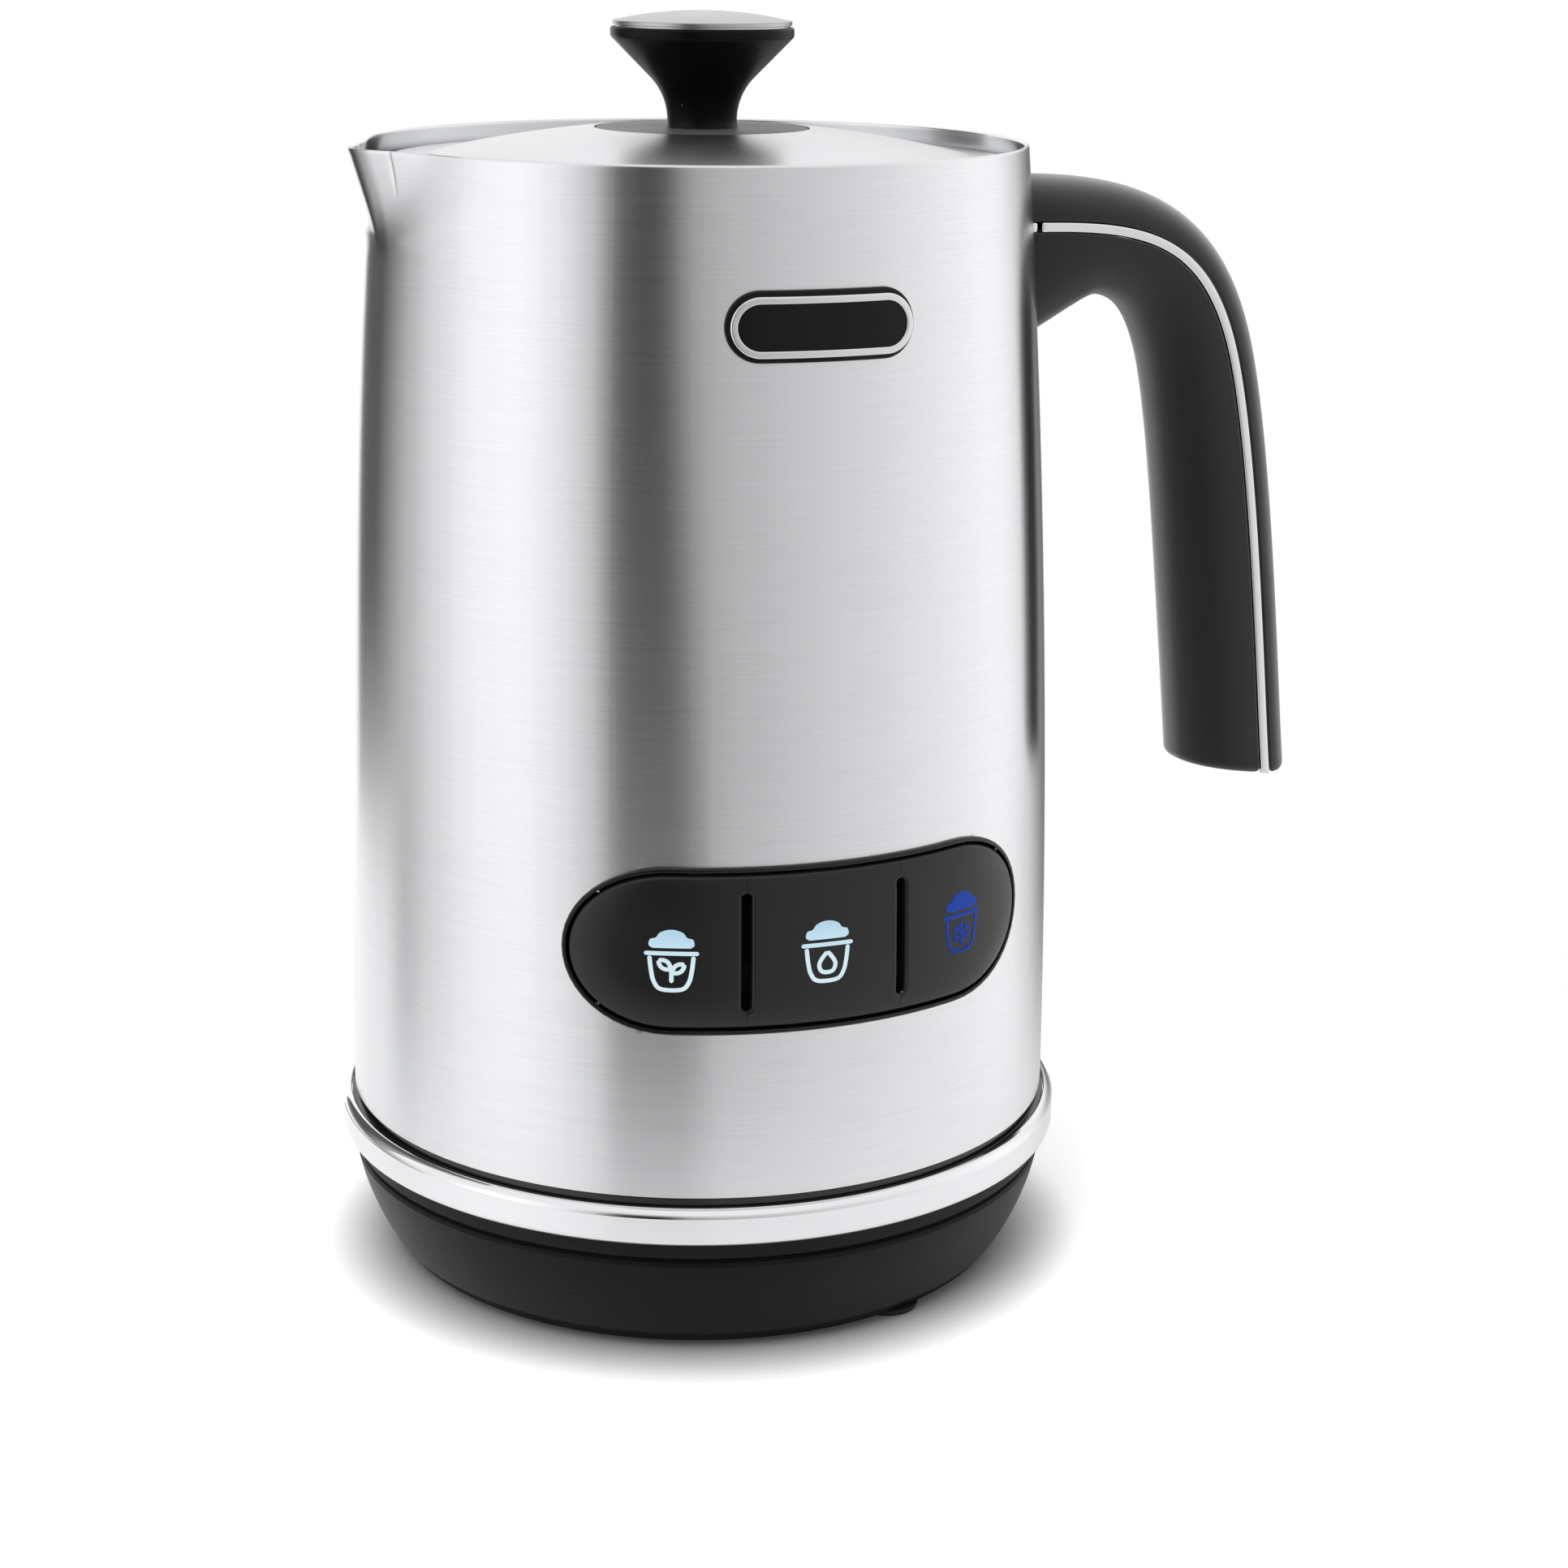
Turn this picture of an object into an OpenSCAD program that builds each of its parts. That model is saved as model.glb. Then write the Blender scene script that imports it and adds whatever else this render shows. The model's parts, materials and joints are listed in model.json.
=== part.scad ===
// Milk frother: a steel jug with a domed lid, lifting off a round mains base.
// The origin is the middle of the base on the table, with +Z up. The key panel and the
// badge face -Y, the spout points to -X and the handle to +X.

/* [Jug wall] */
// Largest radius of the jug wall, near its foot
belly_r = 59.1; // [58:0.1:61]
// How much the wall's radius shrinks up to the rim
rim_draw = 6.9; // [5.1:0.1:8.1]
// Height of the steel wall from its lower edge to the rim
jug_h = 157.2; // [150:0.5:165]
// How far below the steel's lower edge the wall would turn vertical
belly_drop = 8; // [0:1:20]
// Thickness of the steel wall
wall_t = 0.8; // [0.6:0.1:1.2]

/* [Spout] */
// Half of the angle that the spout takes up at the rim
spout_half = 14; // [12:1:20]
// How far the spout is turned towards the front from the point opposite the handle
spout_turn = 6; // [0:1:10]
// How far the pouring tip stands out from the rim
spout_reach = 6.8; // [4:0.1:8]
// Height of the spout's V, from its point up to the rim
spout_depth = 16.2; // [14:0.2:20]
// Radius of the spout's tip and of its ridge
spout_nose_r = 3.8; // [2:0.1:4.5]
// Height of steel between the spout's V and the weld of the milk vessel
spout_margin = 1; // [0.6:0.1:2]

/* [Foot ring of the jug] */
// Height of the bright ring
ring_h = 6.1; // [5:0.1:8]
// How far the ring stands out from the belly
ring_proud = 2.1; // [1:0.05:2.5]
// Height of the dark seam between the ring and the steel wall
seam_h = 1.1; // [0.8:0.1:2]
// Height of the black collar below the ring
collar_h = 3.3; // [2.5:0.1:4]
// Gap between the jug's collar and the base
parting_gap = 0.5; // [0.4:0.1:1]

/* [Base] */
// How far the base's upper edge stays inside the jug's belly
base_inset = 0.1; // [0:0.1:1]
// How much the base's radius shrinks down to its lower edge
base_draw = 6.9; // [5:0.1:8]
// Height of the base's upper edge above the table
base_h = 17.8; // [17:0.1:20]
// Radius of the arc that the base's side follows
base_side_r = 40; // [28:1:60]
// Thickness of the base's shell
base_t = 2.2; // [1.6:0.1:2.6]
// How far the raised platform that carries the jug stays inside the upper edge
platform_inset = 9; // [7:0.5:13]
// Height of the platform above the base's upper edge
platform_h = 2; // [1.5:0.1:3]

/* [Feet] */
// Number of rubber feet round the middle one
foot_count = 3; // [3:1:5]
// Radius of one foot
foot_r = 5.3; // [4:0.1:5.6]
// How far the middle of an outer foot stays inside the base's lower edge
foot_inset = 4.7; // [4.7:0.1:12]
// How far the feet stand out below the base
foot_out = 1; // [0.8:0.1:1.6]
// Thickness of one foot
foot_t = 2; // [1.8:0.1:2.6]
// Turn of the first foot from the front
foot_turn = 21.5; // [0:0.5:40]

/* [Cord gland] */
// Radius of the hole through the gland
gland_bore_r = 3.1; // [2.8:0.1:3.4]
// Length of the gland
gland_len = 10; // [8:0.5:12]

/* [Lid] */
// Gap between the lid's edge and the jug wall
lid_gap = 0.6; // [0.4:0.1:1]
// Depth of the lid's flat border below the rim
lid_sink = 2.8; // [2:0.1:4]
// Space between the rim and the foot of the lid's dome
lid_border = 8.7; // [7.2:0.1:11.2]
// Radius of the sphere that the dome is part of
dome_sphere_r = 190; // [170:5:230]
// Step from the lid's border up to the foot of the dome
dome_step = 0.45; // [0.3:0.05:1.5]
// Thickness of the lid's steel cover
lid_t = 0.8; // [0.6:0.1:1]
// Radius of the dark disc round the knob
disc_r = 17; // [14:0.5:20]

/* [Knob] */
// Radius of the knob's head
knob_r = 14.6; // [13:0.1:17]
// Radius of the knob's neck
knob_neck_r = 5.55; // [5:0.05:7]
// Height of the knob's plastic body
knob_h = 15.6; // [15:0.1:20]
// Height of the steel cap on the knob
knob_cap_h = 2.5; // [2:0.1:3.5]
// Radius of the throat between the neck and the flare
knob_throat_r = 9.5; // [8:0.5:11]

/* [Handle] */
// Depth of the bright band's level below the rim
handle_drop = 13.45; // [13:0.05:16]
// Reach of the knuckle from the belly
handle_reach = 34.2; // [32:0.2:42]
// Drop from the band's level to the knuckle
handle_fall = 21.8; // [20:0.2:28]
// Outward run of the grip from the knuckle to its end
handle_lean = 11.1; // [4:0.1:14]
// Height of the handle from its end to the band's level
handle_len = 98.5; // [90:0.5:110]
// Width of the handle
handle_w = 19.6; // [17:0.2:22]
// Depth of the grip inside the bright band
grip_in = 14.5; // [12:0.1:16]
// Depth of the grip outside the bright band
grip_out = 5.4; // [4.5:0.1:7]
// Thickness of the bright band
band_t = 1.55; // [1.2:0.05:2]

/* [Badge] */
// Length of the badge along the wall
badge_len = 29.8; // [24:0.2:34]
// Height of the badge
badge_h = 10.5; // [9:0.1:13]
// Height of the badge's middle below the rim
badge_drop = 22.9; // [18:0.1:34]
// Width of the bright frame on the badge
badge_frame_w = 1.1; // [0.8:0.1:1.4]
// Width of the black border outside the bright frame
badge_border = 0.8; // [0.5:0.1:1.2]
// How far the badge stands out from the wall
badge_proud = 1.8; // [1.4:0.1:2.2]

/* [Key panel] */
// Length of the panel along the wall
panel_len = 82.2; // [78:0.2:86]
// Height of the panel
panel_h = 26.6; // [25:0.2:28]
// Height of the panel's middle above the steel's lower edge
panel_up = 40.2; // [39:0.2:44]
// Width of the bezel round the keys
bezel_w = 1.5; // [1.2:0.1:2]
// How far the bezel stands out from the wall
bezel_proud = 0.8; // [0.6:0.1:1.2]
// How far the keys stand out from the wall
key_proud = 1.1; // [0.8:0.1:1.6]
// Angle from the middle of the panel to each slot
slot_turn = 12.3; // [11:0.1:14]
// Width of the slots between the keys
slot_w = 1.2; // [0.9:0.1:1.6]
// Height of the slots
slot_h = 18.6; // [16:0.2:20]
// Travel of a key
key_travel = 0.6; // [0.4:0.1:0.8]

/* [Milk vessel] */
// Space between the belly and the inside of the milk vessel
vessel_gap = 17.1; // [16.5:0.1:18.1]
// Thickness of the vessel
vessel_t = 0.8; // [0.6:0.1:1]
// Height of the machine space under the vessel, from the steel's lower edge
plant_h = 37.2; // [36.6:0.2:40]
// Radius where the vessel's wall meets its floor
vessel_fillet_r = 5; // [3:0.5:7]

/* [Whisk] */
// Radius of the pin that the whisk turns on
pin_r = 2; // [1.6:0.1:2.5]
// Radius of the ring that the coil follows
coil_ring_r = 17; // [15:0.5:22]
// Radius of the coil's turns
coil_r = 2.3; // [1.8:0.1:2.6]
// Radius of the coil's wire
coil_wire_r = 0.4; // [0.35:0.05:0.5]
// Number of turns in the coil
coil_turns = 34; // [24:1:36]
// Height of the whisk's hub
hub_h = 16; // [14:0.5:24]

/* [Motor and heater] */
// Radius of the motor
motor_r = 14; // [12:0.5:15]
// Height of the motor
motor_h = 21; // [18:0.5:22]
// Radius of the motor's shaft
shaft_r = 1.5; // [1:0.1:2]
// Radius of the magnet carrier that drives the whisk
rotor_r = 16; // [14:0.5:17]
// How far the heating plate's edge stays inside the vessel's wall
heater_inset = 4; // [3:0.5:6]
// How far the heating tube's middle stays inside the plate's edge
heater_tube_inset = 5; // [4:0.5:7]
// Radius of the heating tube
heater_tube_r = 2.6; // [2:0.1:3]

/* [Coupling of the jug and the base] */
// Radius of the column on the base
column_r = 11.8; // [10:0.1:13]
// Height of the column above the platform
column_h = 9; // [8:0.2:9.5]
// Radius of the contact pin in the column
contact_r = 2; // [1.5:0.1:3]

/* [Hidden] */

$fn = 128;
// Gap between fixed pieces that sit in one another
fit_gap = 0.1;
// Gap between pieces that move past one another
move_gap = 0.3;
// Radial play of a shaft in its bearing
pin_play = 0.05;
// Overlap that makes a cut run clean through a face
cut = 1;

// Radii that follow the belly
rim_r = belly_r - rim_draw;
dome_r = rim_r - lid_border;
base_r = belly_r - base_inset;
base_low_r = base_r - base_draw;
platform_r = base_r - platform_inset;
foot_circle_r = base_low_r - foot_inset;
vessel_r = belly_r - vessel_gap;
heater_r = vessel_r - heater_inset;
heater_tube_ring_r = heater_r - heater_tube_inset;

// Levels, from the table up
collar_z = base_h + parting_gap;
ring_z = collar_z + collar_h;
seam_z = ring_z + ring_h;
jug_z = seam_z + seam_h;
rim_z = jug_z + jug_h;
platform_z = base_h + platform_h;
belly_z = jug_z - belly_drop;
floor_z = jug_z + plant_h;
lip_z = rim_z - spout_depth - spout_margin;
border_z = rim_z - lid_sink;
dome_z = border_z + dome_step + dome_sphere_r - sqrt(pow(dome_sphere_r, 2) - pow(dome_r, 2));

// Radius of the outside of the jug wall at height z: a shallow parabola
function wall_r(z) =
    belly_r - (belly_r - rim_r) * pow((z - belly_z) / (rim_z - belly_z), 2);

// Outline of the wall moved outward by off, from z0 to z1
function wall_line(z0, z1, off, steps = 12) =
    [for (i = [0:steps]) let(z = z0 + (z1 - z0) * i / steps) [wall_r(z) + off, z]];

// Points of the minor arc of radius r from a to b, bulging to the right of the line a-b
function arc_points(a, b, r, steps = 12) =
    let(d = b - a, l = norm(d), across = [-d[1], d[0]] / l,
        centre = (a + b) / 2 + across * sqrt(r * r - l * l / 4),
        t0 = atan2(a[1] - centre[1], a[0] - centre[0]),
        t1 = atan2(b[1] - centre[1], b[0] - centre[0]),
        sweep = (t1 - t0 + 540) % 360 - 180)
    [for (i = [0:steps]) let(t = t0 + sweep * i / steps) centre + r * [cos(t), sin(t)]];

// The same list the other way round
function turned(list) = [for (i = [len(list) - 1:-1:0]) list[i]];

module revolved(points) {
    rotate_extrude() polygon(points);
}

module tube(outer_r, inner_r, z0, z1) {
    revolved([[inner_r, z0], [outer_r, z0], [outer_r, z1], [inner_r, z1]]);
}

module disc(r, z0, z1) {
    translate([0, 0, z0]) cylinder(r = r, h = z1 - z0);
}

// Copies of the children round the Z axis
module around(count, turn = 0) {
    for (i = [0:count - 1]) rotate([0, 0, turn + i * 360 / count]) children();
}

// Pan-head screw whose head rests under z, with its shank going up
module screw_up(head_r, head_h, shank_r, shank_h) {
    difference() {
        translate([0, 0, -head_h]) cylinder(r = head_r, h = head_h, $fn = 32);
        translate([-head_r, -0.4, -head_h - cut]) cube([2 * head_r, 0.8, cut + head_h / 3]);
    }
    cylinder(r = shank_r, h = shank_h, $fn = 24);
}

// ---- Shapes that lie on the jug's front wall ----

// Band of the wall between two offsets and two heights
module wall_band(off0, off1, z0, z1) {
    revolved(concat(wall_line(z0, z1, off1), turned(wall_line(z0, z1, off0))));
}

// Stadium wrapped on the wall, seen along +Y: len is measured along the wall
module wrapped_stadium(len, h, mid_z) {
    r = wall_r(mid_z);
    end = len / 2 - h / 2;
    half = [for (i = [0:16]) let(t = -90 + i * 180 / 16) [end + h / 2 * cos(t), h / 2 * sin(t)]];
    flat = concat(half, [for (p = half) -p]);
    polygon([for (p = flat) [r * sin(p[0] / r * 180 / PI), mid_z + p[1]]]);
}

// Solid whose outline is a 2D child in X and Z, from the front back to the jug's axis
module front_prism() {
    rotate([90, 0, 0]) linear_extrude(belly_r + 20) children();
}

// Slab on the wall between two offsets, cut to a wrapped stadium
module wall_stadium(len, h, mid_z, off0, off1) {
    intersection() {
        front_prism() wrapped_stadium(len, h, mid_z);
        wall_band(off0, off1, mid_z - h, mid_z + h);
    }
}

// ---- Jug ----

// Radius at which the spout's folds leave the rim, and height of its upright lip
fold_r = 1;
lip_h = 0.4;

// Wedge of the spout, with its faces moved inward by inset
module spout_wedge(inset, top) {
    nose = spout_nose_r - inset;
    tip_x = rim_r + spout_reach - spout_nose_r;
    point_z = rim_z - spout_depth + nose + 2 * inset;
    rotate([0, 0, spout_turn]) hull() {
        translate([-tip_x, 0, rim_z - lip_h]) cylinder(r = nose, h = lip_h + top, $fn = 32);
        for (side = [-1, 1]) rotate([0, 0, side * (spout_half - 2 * inset)])
            translate([fold_r + inset - rim_r, 0, rim_z - lip_h])
                cylinder(r = fold_r, h = lip_h + top, $fn = 16);
        translate([nose + 2 * inset - wall_r(point_z), 0, point_z]) sphere(r = nose, $fn = 32);
    }
}

// Space inside the steel wall
module wall_space(z0, top) {
    revolved(concat([[0, z0]], wall_line(z0, rim_z, -wall_t), [[rim_r - wall_t, top], [0, top]]));
}

panel_z = jug_z + panel_up;
badge_z = rim_z - badge_drop;
// The opening in the wall behind the bezel
bezel_lap = 0.5;
window_len = panel_len - 2 * bezel_lap;
window_h = panel_h - 2 * bezel_lap;

module jug_shell() {
    color([0.78, 0.78, 0.80]) difference() {
        union() {
            revolved(concat([[0, jug_z]], wall_line(jug_z, rim_z, 0), [[0, rim_z]]));
            spout_wedge(0, 0);
        }
        wall_space(jug_z - cut, rim_z + cut);
        spout_wedge(wall_t, cut);
        front_prism() wrapped_stadium(window_len, window_h, panel_z);
    }
}

// The vessel hangs by a flange welded into the steel wall just under the spout's point
module milk_vessel() {
    r0 = vessel_r + vessel_t;
    z0 = floor_z - vessel_t;
    f = vessel_fillet_r;
    inner = arc_points([vessel_r - f, floor_z], [vessel_r, floor_z + f], f, 6);
    outer = arc_points([vessel_r - f, z0], [r0, z0 + f + vessel_t], f + vessel_t, 6);
    edge_r = wall_r(lip_z) - wall_t - fit_gap;
    color([0.36, 0.36, 0.37]) difference() {
        revolved(concat([[0, z0]], outer, [[r0, lip_z - vessel_t]],
            [[edge_r, lip_z - vessel_t], [edge_r, lip_z], [vessel_r, lip_z]],
            turned(inner), [[0, floor_z]]));
        disc(pin_r, z0 - cut, floor_z + cut);
    }
}

ring_r = belly_r + ring_proud;
// The collar's spigot that carries the ring and the steel wall
spigot_r = wall_r(jug_z) - wall_t - fit_gap;
seam_r = belly_r - wall_t / 2;

module ring_trim() {
    inner_r = seam_r + fit_gap;
    mid_z = ring_z + ring_h / 2;
    face = arc_points([ring_r - 0.45, ring_z + 0.25], [ring_r, mid_z], 12, 4);
    top = arc_points([ring_r, mid_z], [belly_r, seam_z], 3, 8);
    color([0.86, 0.86, 0.88]) revolved(concat(
        [[inner_r, ring_z], [ring_r - 0.7, ring_z]], face, [for (i = [1:8]) top[i]], [[inner_r, seam_z]]));
}

collar_floor_t = 2.5;
socket_r = column_r + move_gap;
socket_t = 2.4;
collar_r = base_r;

module jug_collar() {
    floor_top = platform_z + collar_floor_t;
    color([0.06, 0.06, 0.06]) difference() {
        revolved([
            [0, platform_z], [platform_r, platform_z],
            [platform_r + move_gap + 0.4, collar_z], [collar_r - 0.3, collar_z],
            [collar_r, collar_z + 0.3], [collar_r, ring_z], [seam_r, ring_z], [seam_r, jug_z],
            [spigot_r, jug_z], [spigot_r, jug_z + 6], [spigot_r - 2, jug_z + 6],
            [spigot_r - 2, floor_top], [0, floor_top]
        ]);
        disc(socket_r + socket_t + fit_gap, platform_z - cut, floor_top + cut);
        around(3, 60) translate([socket_screw_r, 0, platform_z + 0.3])
            cylinder(r = jug_screw_r + fit_gap / 2, h = collar_floor_t + cut, $fn = 24);
    }
    color([0.06, 0.06, 0.06]) around(3, 30) difference() {
        translate([post_circle_r, 0, floor_top]) cylinder(r = post_r, h = bracket_z - floor_top, $fn = 32);
        translate([post_circle_r, 0, bracket_z - 8]) cylinder(r = 1.3, h = 8 + cut, $fn = 24);
    }
}

socket_screw_r = socket_r + socket_t + 4;
socket_flange_t = 1.4;
jug_screw_r = 1.4;

// Socket in the jug's floor that drops over the base's column
module jug_connector() {
    floor_top = platform_z + collar_floor_t;
    top_z = platform_z + column_h + move_gap;
    color([0.12, 0.12, 0.13]) difference() {
        union() {
            disc(socket_r + socket_t, platform_z, top_z + 1.6);
            disc(socket_screw_r + 4, floor_top, floor_top + socket_flange_t);
        }
        disc(socket_r, platform_z - cut, top_z);
        disc(button_r + fit_gap, top_z - cut, top_z + contact_seat);
        contact_groove(top_z - cut, top_z + contact_seat);
        around(3, 60) translate([socket_screw_r, 0, floor_top - cut])
            cylinder(r = jug_screw_r + 2 * fit_gap, h = 4, $fn = 24);
    }
}

// Contacts in the socket's roof: a button over the base's pin, and a ring
module jug_contacts() {
    top_z = platform_z + column_h + move_gap;
    color([0.83, 0.68, 0.35]) {
        disc(button_r, top_z - 1, top_z + contact_seat);
        contact_hoop(top_z, top_z + contact_seat);
    }
}

// Thin ring that carries current, and the groove it sits in
module contact_hoop(z0, z1) {
    tube(contact_ring_r + fit_gap + contact_ring_t, contact_ring_r + fit_gap, z0, z1);
}

module contact_groove(z0, z1) {
    tube(contact_ring_r + contact_ring_t + 2 * fit_gap, contact_ring_r, z0, z1);
}

module jug_screws() {
    color([0.6, 0.6, 0.62]) around(3, 60)
        translate([socket_screw_r, 0, platform_z + collar_floor_t + socket_flange_t])
            rotate([180, 0, 0]) screw_up(2.6, 1.6, jug_screw_r, collar_floor_t + 0.9);
}

// ---- Motor, heater and drive ----

motor_z = platform_z + column_h + move_gap + 2;
bracket_z = motor_z + motor_h;
bracket_t = 1.5;
post_circle_r = heater_tube_ring_r;
post_r = 3.5;
motor_screw_circle_r = 8;

module motor() {
    color([0.62, 0.63, 0.65]) difference() {
        union() {
            disc(motor_r, motor_z, bracket_z - 1);
            disc(motor_r - 1.5, bracket_z - 1, bracket_z);
            disc(5, bracket_z, bracket_z + bracket_t);
        }
        disc(shaft_r + pin_play, bracket_z - 12, bracket_z + bracket_t + cut);
        around(2) translate([motor_screw_circle_r, 0, bracket_z - 4]) cylinder(r = 1, h = 5, $fn = 24);
    }
}

module motor_bracket() {
    color([0.7, 0.7, 0.72]) difference() {
        union() {
            disc(motor_r + 6, bracket_z, bracket_z + bracket_t);
            around(3, 30) translate([0, -post_r - 1, bracket_z])
                cube([post_circle_r, 2 * post_r + 2, bracket_t]);
            around(3, 30) translate([post_circle_r, 0, bracket_z]) cylinder(r = post_r + 1, h = bracket_t);
        }
        disc(5 + fit_gap, bracket_z - cut, bracket_z + bracket_t + cut);
        around(2) translate([motor_screw_circle_r, 0, bracket_z - cut]) cylinder(r = 1.2, h = 5, $fn = 24);
        around(3, 30) translate([post_circle_r, 0, bracket_z - cut]) cylinder(r = 1.6, h = 5, $fn = 24);
    }
}

module motor_screws() {
    color([0.6, 0.6, 0.62]) {
        around(2) translate([motor_screw_circle_r, 0, bracket_z + bracket_t])
            rotate([180, 0, 0]) screw_up(1.8, 0.9, 0.9, 4);
        around(3, 30) translate([post_circle_r, 0, bracket_z + bracket_t])
            rotate([180, 0, 0]) screw_up(2.8, 1.4, 1.2, 8);
    }
}

rotor_z = bracket_z + bracket_t + 2.4;
rotor_h = floor_z - vessel_t - 0.7 - rotor_z;

module motor_rotor() {
    color([0.25, 0.25, 0.27]) difference() {
        union() {
            disc(rotor_r, rotor_z, rotor_z + rotor_h);
            disc(4, bracket_z + bracket_t + 1, rotor_z);
        }
        disc(shaft_r + fit_gap / 2, rotor_z - 5, rotor_z + rotor_h - 1);
        around(4, 45) translate([rotor_r - 5.5, 0, rotor_z + rotor_h - 0.4]) cylinder(r = 3.6, h = 1);
    }
}

module motor_shaft() {
    color([0.8, 0.8, 0.82]) disc(shaft_r, bracket_z - 11.8, rotor_z + rotor_h - 1.1);
}

module heater() {
    z1 = floor_z - vessel_t;
    color([0.72, 0.73, 0.75]) {
        tube(heater_r, rotor_r + 3, z1 - 3, z1);
        difference() {
            translate([0, 0, z1 - 3.4]) rotate_extrude()
                translate([heater_tube_ring_r, 0]) circle(r = heater_tube_r, $fn = 32);
            disc(heater_r, z1 - 3, z1 + cut);
        }
    }
}

// The sensor is clamped under the heating plate, between the tube and the rotor
module temperature_sensor() {
    plate_r = rotor_r + 3;
    room = heater_tube_ring_r - heater_tube_r - plate_r;
    top_z = floor_z - vessel_t - 3;
    color([0.85, 0.83, 0.78]) translate([0, plate_r + room / 2, top_z - 4.5]) {
        cylinder(r = 0.37 * room, h = 4.5, $fn = 48);
        for (side = [-1, 1]) translate([side * 2.2 - 0.4, -0.2, -0.8]) cube([0.8, 0.4, 1]);
    }
}

// ---- Key panel ----

key_len = panel_len - 2 * bezel_w;
key_h = panel_h - 2 * bezel_w;
// The flange that keeps a key behind the bezel
flange_w = 0.9;
inside_off = -wall_t - fit_gap;
flange_off = inside_off - 0.9;
carrier_off = flange_off - 1.4;
board_depth = 13.4;
board_front_y = -(wall_r(panel_z) - board_depth);
board_t = 1.4;
board_w = 58;
board_h = panel_h + 10;
board_post_x = 22;
board_post_z = panel_h / 2 + 2.4;
switch_h = 2.8;
switch_body = 1.8;
switch_w = 5;
stem_r = 2.4;
key_turn = [-25.8, 0, 25.8];

module panel_bezel() {
    lip = move_gap;
    color([0.05, 0.05, 0.05]) difference() {
        union() {
            wall_stadium(panel_len, panel_h, panel_z, fit_gap / 2, bezel_proud);
            wall_stadium(window_len - 2 * fit_gap, window_h - 2 * fit_gap, panel_z, inside_off, fit_gap);
        }
        front_prism() wrapped_stadium(key_len + 2 * lip, key_h + 2 * lip, panel_z);
    }
}

// Frame inside the wall that the bezel snaps into and the board is screwed to
module panel_carrier() {
    color([0.1, 0.1, 0.1]) {
        difference() {
            wall_stadium(panel_len + 5, panel_h + 5, panel_z, carrier_off, inside_off);
            front_prism() wrapped_stadium(key_len + 2 * (flange_w + move_gap),
                key_h + 2 * (flange_w + move_gap), panel_z);
        }
        difference() {
            board_posts(2.4, wall_r(panel_z));
            wall_band(carrier_off + 0.7, 20, panel_z - 40, panel_z + 40);
            board_posts(1, -board_front_y + 5);
        }
    }
}

// Round bars along Y at the board's four fixing points, from the board's front to y = -reach
module board_posts(r, reach) {
    for (sx = [-1, 1], sz = [-1, 1])
        translate([sx * board_post_x, board_front_y, panel_z + sz * board_post_z])
            rotate([90, 0, 0]) cylinder(r = r, h = reach + board_front_y, $fn = 32);
}

// Cut that leaves the part of the key strip between two slots; side is -1, 0 or 1
module key_zone(side) {
    x = wall_r(panel_z) * sin(slot_turn);
    half_gap = 0.08;
    difference() {
        if (side == 0) square_between(half_gap - x, x - half_gap);
        else if (side > 0) square_between(x + half_gap, belly_r);
        else square_between(-belly_r, -x - half_gap);
        for (s = [-1, 1]) translate([s * x, panel_z]) slot_outline();
    }
}

module square_between(x0, x1) {
    translate([x0, panel_z - panel_h]) square([x1 - x0, 2 * panel_h]);
}

// Slot with round ends
module slot_outline() {
    end = (slot_h - slot_w) / 2;
    square([slot_w, 2 * end], center = true);
    for (s = [-1, 1]) translate([0, s * end]) circle(d = slot_w, $fn = 24);
}

module key_cap(side) {
    color([0.07, 0.07, 0.07]) {
        intersection() {
            wall_stadium(key_len, key_h, panel_z, flange_off + 0.5, key_proud);
            front_prism() key_zone(side);
        }
        intersection() {
            wall_stadium(key_len + 2 * flange_w, key_h + 2 * flange_w, panel_z,
                flange_off - 0.4, flange_off + 0.6);
            front_prism() key_zone(side);
        }
        key_stem(side);
    }
}

// The stem points straight back at the switch
module key_stem(side) {
    x = wall_r(panel_z) * sin(key_turn[side + 1]);
    front_y = -wall_r(panel_z) * cos(key_turn[side + 1]) - flange_off - flange_w;
    back_y = board_front_y - switch_h - key_travel - fit_gap / 2;
    translate([x, back_y, panel_z]) rotate([90, 0, 0])
        cylinder(r = stem_r, h = back_y - front_y, $fn = 32);
}

module key_left() {
    key_cap(-1);
}

module key_middle() {
    key_cap(0);
}

module key_right() {
    key_cap(1);
}

module control_board() {
    color([0.05, 0.3, 0.14]) difference() {
        translate([-board_w / 2, board_front_y, panel_z - board_h / 2])
            cube([board_w, board_t, board_h]);
        translate([0, 2 * board_t, 0]) board_posts(1.2, -board_front_y + 8);
    }
}

module key_switches() {
    color([0.15, 0.15, 0.16]) for (turn = key_turn) {
        x = wall_r(panel_z) * sin(turn);
        translate([x - switch_w / 2, board_front_y - switch_body, panel_z - switch_w / 2])
            cube([switch_w, switch_body, switch_w]);
        translate([x, board_front_y - switch_body, panel_z]) rotate([90, 0, 0])
            cylinder(r = 1.7, h = switch_h - switch_body, $fn = 32);
    }
}

module board_screws() {
    color([0.6, 0.6, 0.62]) for (sx = [-1, 1], sz = [-1, 1])
        translate([sx * board_post_x, board_front_y + board_t, panel_z + sz * board_post_z])
            rotate([90, 0, 0]) screw_up(2.2, 1.2, 0.9, board_t + 4);
}

// ---- Badge ----

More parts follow.
